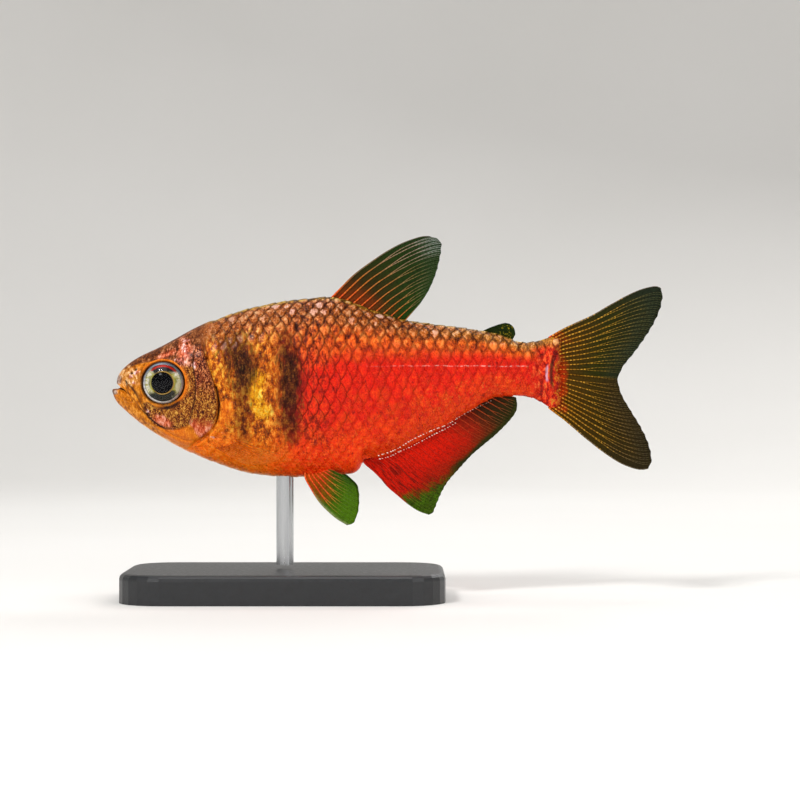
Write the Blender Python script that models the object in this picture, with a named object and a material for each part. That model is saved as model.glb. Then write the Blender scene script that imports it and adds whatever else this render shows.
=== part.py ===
# Flame tetra at life size, held level over a plain display stand.
# Sizes are in millimetres and become metres when a mesh is made.
# X runs from the snout to the tail, the fish's left side faces -Y and Z is up.
# Heights on the fish are measured from its long axis, which passes through the eye.

import math

import bmesh
import bpy
import numpy as np

MM = 0.001
MERGE = 1e-7  # metres, for points that a Boolean leaves twice
GAP = 0.3  # clearance between neighbouring solids

# Where the shapes that cut the fish end, all clear of it
FAR_FRONT, FAR_SIDE, FAR_UP, FAR_DOWN = -22.0, 6.0, 8.0, -8.0

# Driving dimensions of the fish
TOTAL_LENGTH = 38.0
SNOUT_X = -TOTAL_LENGTH / 2 + 0.05
TAIL_BASE_X = 11.28
AXIS_HEIGHT = 14.8  # of the fish's long axis over the resting surface

# Body outline seen from the side, as (x, height from the axis)
BACK_LINE = [
    (SNOUT_X, -0.40), (-18.80, -0.05), (-18.70, 0.25), (-18.17, 1.03), (-17.35, 1.66),
    (-15.69, 2.48), (-12.38, 4.21), (-9.07, 5.31), (-5.76, 5.86), (-4.10, 5.98),
    (-0.79, 5.00), (1.07, 4.43), (5.83, 3.76), (7.76, 3.38), (9.30, 2.86), (TAIL_BASE_X, 3.17),
]
BELLY_LINE = [
    (SNOUT_X, -0.55), (-18.83, -1.00), (-18.17, -1.79), (-15.69, -3.66), (-12.38, -5.31),
    (-9.07, -6.31), (-6.50, -6.52), (-3.97, -6.41), (-2.60, -6.22), (-1.98, -5.75),
    (-1.72, -5.20), (-0.52, -5.18), (2.38, -3.93), (5.69, -1.95), (7.48, -1.03),
    (9.30, -0.92), (TAIL_BASE_X, -1.72),
]

# The vent notch touches only the lowest part of the section, between these places
VENT_SPAN = (-3.5, 0.5)
VENT_REACH = 0.72  # cosine of the section's angle, at the notch's upper end

# Half width seen from above, and the height of the widest level
HALF_WIDTH = [
    (SNOUT_X, 0.30), (-18.60, 0.72), (-17.90, 1.12), (-17.00, 1.50), (-15.50, 2.02),
    (-13.50, 2.42), (-11.50, 2.60), (-8.50, 2.62), (-5.00, 2.45), (-1.50, 2.10),
    (2.50, 1.62), (6.00, 1.18), (9.00, 0.85), (TAIL_BASE_X, 0.42),
]
WIDEST_LEVEL = [
    (SNOUT_X, -0.42), (-17.30, -0.25), (-15.50, -0.10), (-11.50, -0.30), (-7.00, -0.70),
    (-3.00, -0.30), (0.50, 0.35), (4.00, 0.70), (8.00, 1.05), (TAIL_BASE_X, 0.75),
]

# Power of the sine in the cross-section: under 1 is full, over 1 draws in to a keel
UPPER_FULLNESS = [(SNOUT_X, 0.85), (-15.0, 0.95), (-9.0, 1.08), (2.0, 1.05), (TAIL_BASE_X, 0.95)]
LOWER_FULLNESS = [(SNOUT_X, 0.85), (-14.0, 0.92), (-6.0, 0.84), (-2.5, 0.95), (-0.5, 1.15),
                  (5.0, 1.12), (TAIL_BASE_X, 0.95)]

# Body mesh
RING_POINTS = 34
STATION_RUNS = [
    (SNOUT_X, -18.4, 0.11), (-18.4, -17.2, 0.24), (-17.2, -11.2, 0.46), (-11.2, -3.2, 0.9),
    (-3.2, -1.4, 0.3), (-1.4, 8.6, 0.9), (8.6, TAIL_BASE_X, 0.45),
]  # from, to, spacing

LEAST_HALF_WIDTH = 0.35  # of a body that an offset shrinks

# Head
EYE_X, EYE_Z = -15.55, 0.0
EYE_RADIUS = 1.47
EYE_HALF_DEPTH = 0.78
EYE_MIDDLE_Y = 1.40  # from the fish's middle plane
IRIS_STEP = 0.06  # the pupil's lens stands this far out of the iris
PUPIL_RADIUS = 0.75
ORBIT_RIM = 0.26  # radius of the rim
RIM_OUT, RIM_SINK = 0.4, 0.45  # shares of that radius: out from the socket, and into the skin
NOSTRIL_RADIUS = 0.2
NOSTRILS = [(-17.70, 0.72), (-17.42, 0.98)]
LIP_RADIUS = 0.2
LIP_SEAT = 0.93  # share of the body's half width at which a lip's middle lies
UPPER_LIP_X, LOWER_LIP_X = -18.55, -18.72
LIP_BEND = 0.12  # how far behind its front a lip leaves the flank
LIP_ROUNDING = 0.4  # power of the sine that tapers a lip at its two ends
PLATE_RAISE = 0.14
PLATE_THICKNESS = 0.6
PLATE_INNER_EDGE = 0.2  # from the fish's middle plane

# Steps along curves
EYE_COLUMNS, EYE_ROWS = 24, 12
LENS_COLUMNS, LENS_ROWS = 20, 8
NOSTRIL_COLUMNS, NOSTRIL_ROWS = 8, 6
RIM_AROUND, TUBE_SIDES = 28, 8
OPENING_STEPS, MOUTH_STEPS, JOINT_STEPS, LIP_STEPS = 24, 14, 9, 21
COVER_REAR_STEPS, COVER_FRONT_STEPS, MAXILLA_STEPS = 18, 14, 20
PATH_STEPS = 12
SHARP_DEGREES = 40

# Side-view lines that part the head, as (x, height from the axis)
GILL_OPENING = [
    (-12.35, 4.80), (-12.66, 3.90), (-12.73, 2.62), (-12.45, 1.45), (-12.04, 0.21),
    (-11.72, -1.17), (-11.76, -2.21), (-12.10, -3.10), (-12.75, -3.75), (-13.60, -4.35),
    (-14.35, -5.20),
]
GILL_COVER_SPAN = (0.19, 0.83)  # share of the opening that the cover closes
GILL_COVER_FRONT = [
    (-14.00, -3.35), (-13.60, -2.40), (-13.32, -1.20), (-13.24, 0.00), (-13.42, 1.20),
    (-13.36, 2.20),
]
MOUTH_LINE = [
    (-19.60, -0.30), (-18.75, -0.36), (-18.33, -0.47), (-18.05, -0.75), (-17.67, -1.25),
    (-17.15, -1.72),
]
JAW_JOINT_LINE = [(-17.15, -1.72), (-16.50, -2.30), (-16.15, -3.00), (-16.08, -4.20)]
MAXILLA = [
    (-18.05, 0.20), (-17.72, -0.10), (-17.05, -1.05), (-16.52, -2.05), (-16.72, -2.12),
    (-17.30, -1.38), (-17.90, -0.55),
]

# Fins, by their sides as (x, height). The front and the rear run outwards from the root.
# A paired fin starts at root_y inside the body and leans outwards by lean for each millimetre.
DORSAL_SIDES = {
    "front": [(-4.05, 6.28), (-2.46, 7.53), (-1.46, 8.28), (-0.08, 9.16), (1.06, 9.72),
              (2.21, 10.08), (2.90, 10.13)],
    "margin": [(2.90, 10.13), (3.40, 10.00), (3.70, 9.74), (3.74, 9.35), (3.62, 8.61),
               (3.35, 7.59), (2.86, 6.45), (2.26, 5.52)],
    "rear": [(1.05, 4.74), (2.26, 5.52)],
    "rays": 11, "rows": 8,
}
TAIL_UPPER_SIDES = {
    "front": [(11.58, 3.40), (12.37, 3.83), (14.03, 4.60), (15.41, 5.40), (16.61, 6.06),
              (17.54, 6.46), (18.45, 6.66), (18.86, 6.54)],
    "margin": [(18.86, 6.54), (19.00, 6.05), (18.83, 5.12), (18.37, 4.10), (17.73, 3.09),
               (16.98, 2.07), (16.30, 1.24), (15.86, 0.43)],
    "rear": [(11.58, 0.87), (15.86, 0.43)],
    "rays": 11, "rows": 10,
}
TAIL_LOWER_SIDES = {
    "front": [(11.58, -2.02), (12.37, -2.66), (13.75, -3.85), (15.14, -4.92), (16.24, -5.58),
              (17.35, -5.94), (17.98, -5.87)],
    "margin": [(17.98, -5.87), (18.23, -5.41), (18.17, -4.67), (17.91, -3.84), (17.44, -2.92),
               (16.80, -1.90), (16.16, -0.80), (15.84, 0.13)],
    "rear": [(11.58, 0.57), (15.84, 0.13)],
    "rays": 11, "rows": 10,
}
ANAL_SIDES = {
    "front": [(-1.42, -5.50), (-0.68, -6.15), (0.02, -6.97), (0.66, -7.65), (1.43, -8.29),
              (2.27, -8.82), (2.86, -9.04)],
    "margin": [(2.86, -9.04), (3.15, -8.90), (3.47, -8.15), (3.75, -7.50), (4.20, -6.74),
               (5.00, -5.82), (5.83, -4.92), (6.66, -4.20), (7.48, -3.51), (8.31, -2.68),
               (8.94, -1.75)],
    "rear": [(8.50, -1.24), (8.94, -1.75)],
    "rays": 23, "rows": 7,
}
ADIPOSE_SIDES = {
    "front": [(6.55, 3.92), (7.00, 3.98), (7.43, 4.08), (7.96, 4.17)],
    "margin": [(7.96, 4.17), (8.43, 4.03), (8.72, 3.70), (8.80, 3.44)],
    "rear": [(8.45, 3.42), (8.80, 3.44)],
    "rays": 4, "rows": 4, "ridge": 0.02,
}
PELVIC_SIDES = {
    "front": [(-5.62, -5.60), (-5.34, -7.15), (-4.72, -8.25), (-3.50, -9.43), (-2.72, -9.79)],
    "margin": [(-2.72, -9.79), (-2.22, -9.48), (-2.03, -8.70), (-2.05, -7.80), (-2.20, -7.10),
               (-2.62, -6.70)],
    "rear": [(-4.60, -5.60), (-2.62, -6.70)],
    "rays": 8, "rows": 7, "root_y": 0.55, "lean": 0.42,
}
PECTORAL_SIDES = {
    "front": [(-12.10, -3.30), (-10.20, -3.92), (-8.40, -4.50), (-7.15, -4.90)],
    "margin": [(-7.15, -4.90), (-7.20, -5.15), (-8.00, -5.45), (-9.10, -5.55), (-10.00, -5.40)],
    "rear": [(-12.00, -4.20), (-10.00, -5.40)],
    "rays": 10, "rows": 7, "root_y": 1.45, "lean": 0.36,
}

# Fin section
ROOT_HALF_THICKNESS = 0.27
EDGE_HALF_THICKNESS = 0.13
RIDGE_HEIGHT = 0.12
RIDGE_FALL = 0.5  # share of a ridge's height that is lost towards its tip
WEB_NOTCH = 0.04  # share of a ray's length by which the web between two rays stops short

# Stand
STAND_X = -7.07
BASE_LENGTH, BASE_WIDTH, BASE_THICKNESS = 22.0, 13.0, 2.0
BASE_CORNER, BASE_BEVEL = 3.0, 0.4
CORNER_SEGMENTS, BEVEL_SEGMENTS = 6, 3
ROD_RADIUS = 0.6
ROD_DEPTH_IN_BODY = 1.1
ROD_SIDES = 24


def clear_scene():
    for obj in list(bpy.data.objects):
        bpy.data.objects.remove(obj)


def smooth_line(points):
    """A function of x through the points, with slopes that never overshoot them."""
    x, z = np.array(points, float).T
    run = np.diff(x)
    rise = np.diff(z) / run
    slope = np.concatenate([rise[:1], np.zeros(len(x) - 2), rise[-1:]])
    for i in range(1, len(x) - 1):
        if rise[i - 1] * rise[i] > 0:
            before, after = 2 * run[i] + run[i - 1], run[i] + 2 * run[i - 1]
            slope[i] = (before + after) / (before / rise[i - 1] + after / rise[i])

    def value(at):
        at = min(max(at, x[0]), x[-1])
        i = min(int(np.searchsorted(x, at, side="right")) - 1, len(run) - 1)
        t = (at - x[i]) / run[i]
        return float(
            (2 * t**3 - 3 * t**2 + 1) * z[i]
            + (t**3 - 2 * t**2 + t) * run[i] * slope[i]
            + (3 * t**2 - 2 * t**3) * z[i + 1]
            + (t**3 - t**2) * run[i] * slope[i + 1]
        )

    return value


def smooth_path(points):
    """A function of 0 to 1 that runs at an even pace along a rounded line through the points."""
    p = np.array(points, float)
    p = np.vstack([2 * p[0] - p[1], p, 2 * p[-1] - p[-2]])
    dense = [p[1]]
    for i in range(1, len(p) - 2):
        for t in np.linspace(0, 1, PATH_STEPS + 1)[1:]:
            dense.append(
                0.5 * (2 * p[i] + (p[i + 1] - p[i - 1]) * t
                       + (2 * p[i - 1] - 5 * p[i] + 4 * p[i + 1] - p[i + 2]) * t**2
                       + (3 * p[i] - p[i - 1] - 3 * p[i + 1] + p[i + 2]) * t**3)
            )
    dense = np.array(dense)
    along = np.concatenate([[0], np.cumsum(np.linalg.norm(np.diff(dense, axis=0), axis=1))])
    along /= along[-1]
    return lambda t: np.array([np.interp(t, along, column) for column in dense.T])


back = smooth_line(BACK_LINE)
belly = smooth_line(BELLY_LINE)
underside = smooth_line([p for p in BELLY_LINE if not VENT_SPAN[0] < p[0] < VENT_SPAN[1]])
half_width = smooth_line(HALF_WIDTH)
widest_level = smooth_line(WIDEST_LEVEL)
upper_fullness = smooth_line(UPPER_FULLNESS)
lower_fullness = smooth_line(LOWER_FULLNESS)


def body_point(x, angle, offset=0.0):
    """A point of the skin. The angle runs from the back over the left flank to the belly."""
    across, up = math.sin(angle), math.cos(angle)
    level = widest_level(x)
    notch = 0.0
    if up >= 0:
        reach, power = back(x) + offset - level, upper_fullness(x)
    else:
        low = min(underside(x), belly(x))
        reach, power = level - low + offset, lower_fullness(x)
        near_belly = max(0.0, (-up - VENT_REACH) / (1 - VENT_REACH))
        notch = (belly(x) - low) * near_belly**2 * (3 - 2 * near_belly)
    y = -math.copysign(abs(across) ** power, across) * (half_width(x) + offset)
    return x, y, level + reach * up + notch


def flank_y(x, z, offset=0.0):
    """Half width of the body at a height."""
    level = widest_level(x)
    if z >= level:
        reach, power = back(x) + offset - level, upper_fullness(x)
    else:
        reach, power = level - underside(x) + offset, lower_fullness(x)
    up = min(1.0, abs(z - level) / reach)
    return math.sqrt(1 - up * up) ** power * (half_width(x) + offset)


def stations(offset):
    """Places along the body, kept to where a shrunk body still has a sound section."""
    places = [SNOUT_X]
    for start, end, spacing in STATION_RUNS:
        count = max(1, round((end - start) / spacing))
        places += list(np.linspace(start, end, count + 1)[1:])
    if offset < 0:
        return [x for x in places if half_width(x) + offset > LEAST_HALF_WIDTH]
    if offset > 0:
        places = [SNOUT_X - offset] + places
        places[-1] += offset
    return places


def solid_object(name, points, faces):
    """An object at the origin from points in fish millimetres."""
    mesh = bpy.data.meshes.new(name)
    placed = [(x * MM, y * MM, (z + AXIS_HEIGHT) * MM) for x, y, z in points]
    mesh.from_pydata(placed, [], faces)
    mesh.validate()
    obj = bpy.data.objects.new(name, mesh)
    bpy.context.scene.collection.objects.link(obj)
    return obj


def body_solid(name, offset=0.0):
    """The whole body as one closed loft, grown or shrunk by the offset."""
    places = stations(offset)
    angles = [2 * math.pi * k / RING_POINTS for k in range(RING_POINTS)]
    points = [body_point(x, angle, offset) for x in places for angle in angles]
    faces = ring_faces(len(places), RING_POINTS, closed=False)
    for first, is_front in ((0, True), ((len(places) - 1) * RING_POINTS, False)):
        middle = len(points)
        points.append(tuple(np.mean(points[first:first + RING_POINTS], axis=0)))
        for k in range(RING_POINTS):
            a, b = first + k, first + (k + 1) % RING_POINTS
            faces.append((middle, b, a) if is_front else (middle, a, b))
    return solid_object(name, points, faces)


def side_prism(name, outline, low_y=-FAR_SIDE, high_y=FAR_SIDE):
    """A side-view outline extruded across the fish."""
    ring = list(outline)
    turn = sum(a[0] * b[1] - b[0] * a[1] for a, b in zip(ring, ring[1:] + ring[:1]))
    if turn < 0:
        ring.reverse()
    count = len(ring)
    points = [(x, low_y, z) for x, z in ring] + [(x, high_y, z) for x, z in ring]
    faces = [tuple(range(count)), tuple(range(2 * count - 1, count - 1, -1))]
    faces += [(i, i + count, (i + 1) % count + count, (i + 1) % count) for i in range(count)]
    return solid_object(name, points, faces)


def sampled(points, count):
    path = smooth_path(points)
    return [tuple(path(t)) for t in np.linspace(0, 1, count)]


def shifted(line, distance):
    """The line moved sideways, to its right as it runs."""
    p = np.array(line, float)
    along = np.gradient(p, axis=0)
    along /= np.linalg.norm(along, axis=1)[:, None]
    return [tuple(q) for q in p + distance * np.column_stack([along[:, 1], -along[:, 0]])]


def grown(outline, distance):
    """A closed outline moved outwards."""
    p = np.array(outline, float)
    along = np.roll(p, -1, axis=0) - np.roll(p, 1, axis=0)
    along /= np.linalg.norm(along, axis=1)[:, None]
    out = np.column_stack([along[:, 1], -along[:, 0]])
    turn = np.sum(p[:, 0] * np.roll(p[:, 1], -1) - np.roll(p[:, 0], -1) * p[:, 1])
    return [tuple(q) for q in p + out * distance * np.sign(turn)]


def apply_modifiers(obj):
    graph = bpy.context.evaluated_depsgraph_get()
    mesh = bpy.data.meshes.new_from_object(obj.evaluated_get(graph))
    obj.modifiers.clear()
    obj.data = mesh


def combine(obj, piece, operation, solver="EXACT"):
    """One Boolean of the object with a piece, which it uses up."""
    modifier = obj.modifiers.new(operation.lower(), "BOOLEAN")
    modifier.operation = operation
    modifier.object = piece
    modifier.solver = solver
    bpy.context.view_layer.update()
    apply_modifiers(obj)
    bpy.data.objects.remove(piece)
    return obj


def keep_largest(obj):
    """Keeps the closed surface with the largest box, so that no loose scrap stays."""
    work = bmesh.new()
    work.from_mesh(obj.data)
    bmesh.ops.remove_doubles(work, verts=work.verts, dist=MERGE)
    unseen, groups = set(work.verts), []
    while unseen:
        group, front = set(), [unseen.pop()]
        while front:
            vert = front.pop()
            group.add(vert)
            for edge in vert.link_edges:
                other = edge.other_vert(vert)
                if other in unseen:
                    unseen.discard(other)
                    front.append(other)
        groups.append(group)

    def box_volume(group):
        corners = np.array([vert.co for vert in group])
        return float(np.prod(corners.max(axis=0) - corners.min(axis=0)))

    groups.sort(key=box_volume)
    for group in groups[:-1]:
        bmesh.ops.delete(work, geom=list(group), context="VERTS")
    bmesh.ops.recalc_face_normals(work, faces=work.faces)
    work.to_mesh(obj.data)
    work.free()
    return obj


def finish(obj, material):
    obj.data.materials.clear()
    obj.data.materials.append(material)
    obj.data.shade_smooth()
    obj.data.set_sharp_from_angle(angle=math.radians(SHARP_DEGREES))
    return obj


def make_material(name, colour, roughness=0.35, metallic=0.0):
    material = bpy.data.materials.new(name)
    material.use_nodes = True
    shader = material.node_tree.nodes["Principled BSDF"]
    shader.inputs["Base Color"].default_value = (*colour, 1.0)
    shader.inputs["Roughness"].default_value = roughness
    shader.inputs["Metallic"].default_value = metallic
    return material


def mirrored(name, obj):
    """A copy for the right side, with its faces still pointing out."""
    mesh = obj.data.copy()
    copy = bpy.data.objects.new(name, mesh)
    bpy.context.scene.collection.objects.link(copy)
    work = bmesh.new()
    work.from_mesh(mesh)
    for vert in work.verts:
        vert.co.y = -vert.co.y
    bmesh.ops.reverse_faces(work, faces=work.faces)
    work.to_mesh(mesh)
    work.free()
    return copy


def ball(name, centre, radii, columns, rows):
    """A closed ball with its poles along Y."""
    work = bmesh.new()
    bmesh.ops.create_uvsphere(work, u_segments=columns, v_segments=rows, radius=1.0)
    for vert in work.verts:
        x, y, z = vert.co
        vert.co = ((centre[0] + x * radii[0]) * MM, (centre[1] + z * radii[1]) * MM,
                   (centre[2] + AXIS_HEIGHT - y * radii[2]) * MM)
    bmesh.ops.recalc_face_normals(work, faces=work.faces)
    mesh = bpy.data.meshes.new(name)
    work.to_mesh(mesh)
    work.free()
    obj = bpy.data.objects.new(name, mesh)
    bpy.context.scene.collection.objects.link(obj)
    return obj


def tube(name, path):
    """A lip: a closed tube with rounded ends along a path of fish points."""
    p = np.array(path, float)
    along = np.gradient(p, axis=0)
    along /= np.linalg.norm(along, axis=1)[:, None]
    points = []
    for i, (centre, ahead) in enumerate(zip(p, along)):
        side = np.cross(ahead, (0, 0, 1))
        side /= np.linalg.norm(side)
        over = np.cross(side, ahead)
        share = math.sin(math.pi * (i + 0.5) / len(p)) ** LIP_ROUNDING
        for k in range(TUBE_SIDES):
            turn = 2 * math.pi * k / TUBE_SIDES
            points.append(tuple(centre + LIP_RADIUS * share * (math.cos(turn) * side
                                                               + math.sin(turn) * over)))
    faces = ring_faces(len(p), TUBE_SIDES, closed=False)
    faces.append(tuple(range(TUBE_SIDES - 1, -1, -1)))
    faces.append(tuple(range((len(p) - 1) * TUBE_SIDES, len(p) * TUBE_SIDES)))
    return keep_largest(solid_object(name, points, faces))


def ring_faces(rings, sides, closed):
    """Quads between rings of points, from the last ring back to the first one if closed."""
    faces = []
    for i in range(rings if closed else rings - 1):
        for k in range(sides):
            after = (k + 1) % sides
            ahead = (i + 1) % rings * sides
            faces.append((i * sides + k, i * sides + after, ahead + after, ahead + k))
    return faces


def orbit_rim(side):
    """The rim of an eye socket, laid on the skin round the eye."""
    points = []
    ring_radius = EYE_RADIUS + GAP + ORBIT_RIM * RIM_OUT
    for i in range(RIM_AROUND):
        turn = 2 * math.pi * i / RIM_AROUND
        skin_x = EYE_X + ring_radius * math.cos(turn)
        skin_z = EYE_Z + ring_radius * math.sin(turn)
        skin_y = flank_y(skin_x, skin_z) - ORBIT_RIM * RIM_SINK
        for k in range(TUBE_SIDES):
            tilt = 2 * math.pi * k / TUBE_SIDES
            reach = ring_radius + ORBIT_RIM * math.cos(tilt)
            points.append((EYE_X + reach * math.cos(turn),
                           side * skin_y + ORBIT_RIM * math.sin(tilt),
                           EYE_Z + reach * math.sin(turn)))
    faces = ring_faces(RIM_AROUND, TUBE_SIDES, closed=True)
    return keep_largest(solid_object("orbit_rim", points, faces))


def fin_patch(sides, root=None):
    """A function of (share along the root, share of a ray's length) that fills a fin's sides."""
    front, margin, rear = (smooth_path(sides[key]) for key in ("front", "margin", "rear"))
    root = root or straight((front(0), rear(0)))

    def place(u, v):
        lines = (1 - u) * front(v) + u * rear(v) + (1 - v) * root(u) + v * margin(u)
        corners = ((1 - u) * (1 - v) * front(0) + u * (1 - v) * rear(0)
                   + (1 - u) * v * front(1) + u * v * rear(1))
        return lines - corners

    return place


def fin_solid(name, fin, patch):
    """A fin with its rays raised as ridges on the web.

    The left and right faces are the same grid and are split into triangles alike.
    """
    columns, rows = 2 * fin["rays"] - 1, fin["rows"]
    ridge = fin.get("ridge", RIDGE_HEIGHT)
    root_y, lean = fin.get("root_y", 0.0), fin.get("lean", 0.0)
    heel = (patch(0.0, 0.0) + patch(1.0, 0.0)) / 2
    flat = []
    for j in range(columns):
        is_web = j % 2
        for i in range(rows + 1):
            v = i / rows
            x, z = patch(j / (columns - 1), v * (1 - WEB_NOTCH * is_web))
            half = ROOT_HALF_THICKNESS + (EDGE_HALF_THICKNESS - ROOT_HALF_THICKNESS) * v**2
            if not is_web:
                half += ridge * (1 - RIDGE_FALL * v)
            flat.append((x, root_y + lean * math.hypot(x - heel[0], z - heel[1]), z, half))
    tall, count = rows + 1, len(flat)
    points = [(x, -(out + half), z) for x, out, z, half in flat]
    points += [(x, -(out - half), z) for x, out, z, half in flat]
    faces = []
    for j in range(columns - 1):
        for i in range(rows):
            a, b = j * tall + i, (j + 1) * tall + i
            c, d = b + 1, a + 1
            faces += [(a, b, c), (a, c, d)]
            faces += [(c + count, b + count, a + count), (d + count, c + count, a + count)]
    rim = [j * tall for j in range(columns)]
    rim += [(columns - 1) * tall + i for i in range(1, tall)]
    rim += [j * tall + rows for j in range(columns - 2, -1, -1)]
    rim += [i for i in range(rows - 1, 0, -1)]
    for a, b in zip(rim, rim[1:] + rim[:1]):
        faces += [(b, a, a + count), (b, a + count, b + count)]
    return keep_largest(solid_object(name, points, faces))


def along_body(sides, line, clearance):
    """Root of a fin that stands on the back or under the belly, a gap clear of it."""
    first, last = sides["front"][0][0], sides["rear"][0][0]

    def place(share):
        x = first + (last - first) * share
        return np.array([x, line(x) + clearance])

    return place


def straight(points):
    a, b = np.array(points[0], float), np.array(points[1], float)
    return lambda share: a + (b - a) * share


def head_outline():
    gill = sampled(GILL_OPENING, OPENING_STEPS)
    return gill + [(FAR_FRONT, FAR_DOWN), (FAR_FRONT, FAR_UP), (gill[0][0], FAR_UP)]


def mouth_line():
    return sampled(MOUTH_LINE, MOUTH_STEPS)


def jaw_outline(clearance=0.0):
    """The lower jaw's side view, grown backwards and upwards by the clearance."""
    line = shifted(mouth_line() + sampled(JAW_JOINT_LINE, JOINT_STEPS)[1:], -clearance)
    return line + [(line[-1][0], FAR_DOWN), (FAR_FRONT, FAR_DOWN), (FAR_FRONT, line[0][1])]


def lip_path(line, front_x):
    """A mouth line laid on the skin of both sides, round the snout."""
    left = [(x, -flank_y(x, z) * LIP_SEAT, z) for x, z in line[:-1] if x > front_x + LIP_BEND]
    left.reverse()
    right = [(x, -y, z) for x, y, z in reversed(left)]
    path = smooth_path(left + [(front_x, 0.0, left[-1][2])] + right)
    return [tuple(path(t)) for t in np.linspace(0, 1, LIP_STEPS)]


def one_side(side):
    """The low and high Y of a cut that stays on one side of the fish."""
    return (-FAR_SIDE, -PLATE_INNER_EDGE) if side < 0 else (PLATE_INNER_EDGE, FAR_SIDE)


def gill_cover_outline():
    opening = smooth_path(GILL_OPENING)
    rear = [tuple(opening(t)) for t in np.linspace(*GILL_COVER_SPAN, COVER_REAR_STEPS)]
    return rear + sampled(GILL_COVER_FRONT, COVER_FRONT_STEPS)


def make_gill_cover(name, material):
    """A plate that stands a little proud of the head."""
    plate = side_prism(name, gill_cover_outline(), *one_side(-1))
    combine(plate, body_solid("outside", PLATE_RAISE), "INTERSECT")
    combine(plate, body_solid("inside", PLATE_RAISE - PLATE_THICKNESS), "DIFFERENCE")
    return finish(keep_largest(plate), material)


def gill_pocket(side):
    """What is cut from the head so that a gill cover lies in it, a gap clear all round."""
    pocket = side_prism("pocket", grown(gill_cover_outline(), GAP), *one_side(side))
    return combine(pocket, body_solid("floor", PLATE_RAISE - PLATE_THICKNESS - GAP), "DIFFERENCE")


def maxilla_plate(side):
    """The upper jaw's hind plate, a low relief behind the mouth."""
    outline = sampled(MAXILLA + MAXILLA[:1], MAXILLA_STEPS)[:-1]
    plate = side_prism("maxilla", outline, *one_side(side))
    return combine(plate, body_solid("raised", PLATE_RAISE), "INTERSECT")


def make_head(material):
    head = combine(body_solid("head"), side_prism("front", head_outline()), "INTERSECT")
    for side in (-1, 1):
        combine(head, maxilla_plate(side), "UNION")
        combine(head, orbit_rim(side), "UNION")
    combine(head, side_prism("jaw_space", jaw_outline(GAP)), "DIFFERENCE")
    upper_edge = shifted(mouth_line(), -GAP - LIP_RADIUS)
    combine(head, tube("upper_lip", lip_path(upper_edge, UPPER_LIP_X)), "UNION")
    for side in (-1, 1):
        combine(head, gill_pocket(side), "DIFFERENCE", "MANIFOLD")
        socket = ball("socket", (EYE_X, side * EYE_MIDDLE_Y, EYE_Z),
                      (EYE_RADIUS + GAP, EYE_HALF_DEPTH + GAP, EYE_RADIUS + GAP),
                      EYE_COLUMNS, EYE_ROWS)
        combine(head, socket, "DIFFERENCE")
        for x, z in NOSTRILS:
            pit = ball("nostril", (x, side * flank_y(x, z), z), [NOSTRIL_RADIUS] * 3,
                       NOSTRIL_COLUMNS, NOSTRIL_ROWS)
            combine(head, pit, "DIFFERENCE")
    return finish(keep_largest(head), material)


def make_lower_jaw(material):
    jaw = combine(body_solid("lower_jaw"), side_prism("chin", jaw_outline()), "INTERSECT")
    lower_edge = shifted(mouth_line(), LIP_RADIUS)
    combine(jaw, tube("lower_lip", lip_path(lower_edge, LOWER_LIP_X)), "UNION")
    return finish(keep_largest(jaw), material)


def make_trunk(material, tail_cut_x):
    gill = shifted(sampled(GILL_OPENING, OPENING_STEPS), -GAP)
    rear_x = tail_cut_x - GAP / 2
    outline = gill + [(gill[-1][0], FAR_DOWN), (rear_x, FAR_DOWN), (rear_x, FAR_UP),
                      (gill[0][0], FAR_UP)]
    trunk = combine(body_solid("trunk"), side_prism("middle", outline), "INTERSECT")
    hole_top = belly(STAND_X) + ROD_DEPTH_IN_BODY + GAP
    combine(trunk, upright("hole", ROD_RADIUS + GAP, FAR_DOWN, hole_top), "DIFFERENCE")
    return finish(keep_largest(trunk), material)


def make_tail_stalk(material, tail_cut_x):
    front_x, rear_x = tail_cut_x + GAP / 2, TAIL_BASE_X + GAP
    outline = [(front_x, FAR_DOWN), (rear_x, FAR_DOWN), (rear_x, FAR_UP), (front_x, FAR_UP)]
    stalk = combine(body_solid("tail_stalk"), side_prism("rear", outline), "INTERSECT")
    return finish(keep_largest(stalk), material)


def make_eye(name, side, material):
    """A flattened ball with a low lens over the pupil."""
    eye = ball(name, (EYE_X, side * EYE_MIDDLE_Y, EYE_Z),
               (EYE_RADIUS, EYE_HALF_DEPTH, EYE_RADIUS), EYE_COLUMNS, EYE_ROWS)
    pupil_depth = EYE_HALF_DEPTH * math.sqrt(1 - (PUPIL_RADIUS / EYE_RADIUS) ** 2)
    lens_depth = EYE_HALF_DEPTH + IRIS_STEP - pupil_depth
    lens = ball("lens", (EYE_X, side * (EYE_MIDDLE_Y + pupil_depth), EYE_Z),
                (PUPIL_RADIUS, lens_depth, PUPIL_RADIUS), LENS_COLUMNS, LENS_ROWS)
    combine(eye, lens, "UNION")
    return finish(keep_largest(eye), material)


def upright(name, radius, low, high):
    """A round post under the fish, between two heights from its axis."""
    points = []
    for z in (low, high):
        for k in range(ROD_SIDES):
            turn = 2 * math.pi * k / ROD_SIDES
            points.append((STAND_X + radius * math.cos(turn), radius * math.sin(turn), z))
    faces = [tuple(range(ROD_SIDES - 1, -1, -1)), tuple(range(ROD_SIDES, 2 * ROD_SIDES))]
    faces += ring_faces(2, ROD_SIDES, closed=False)
    return solid_object(name, points, faces)


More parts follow.
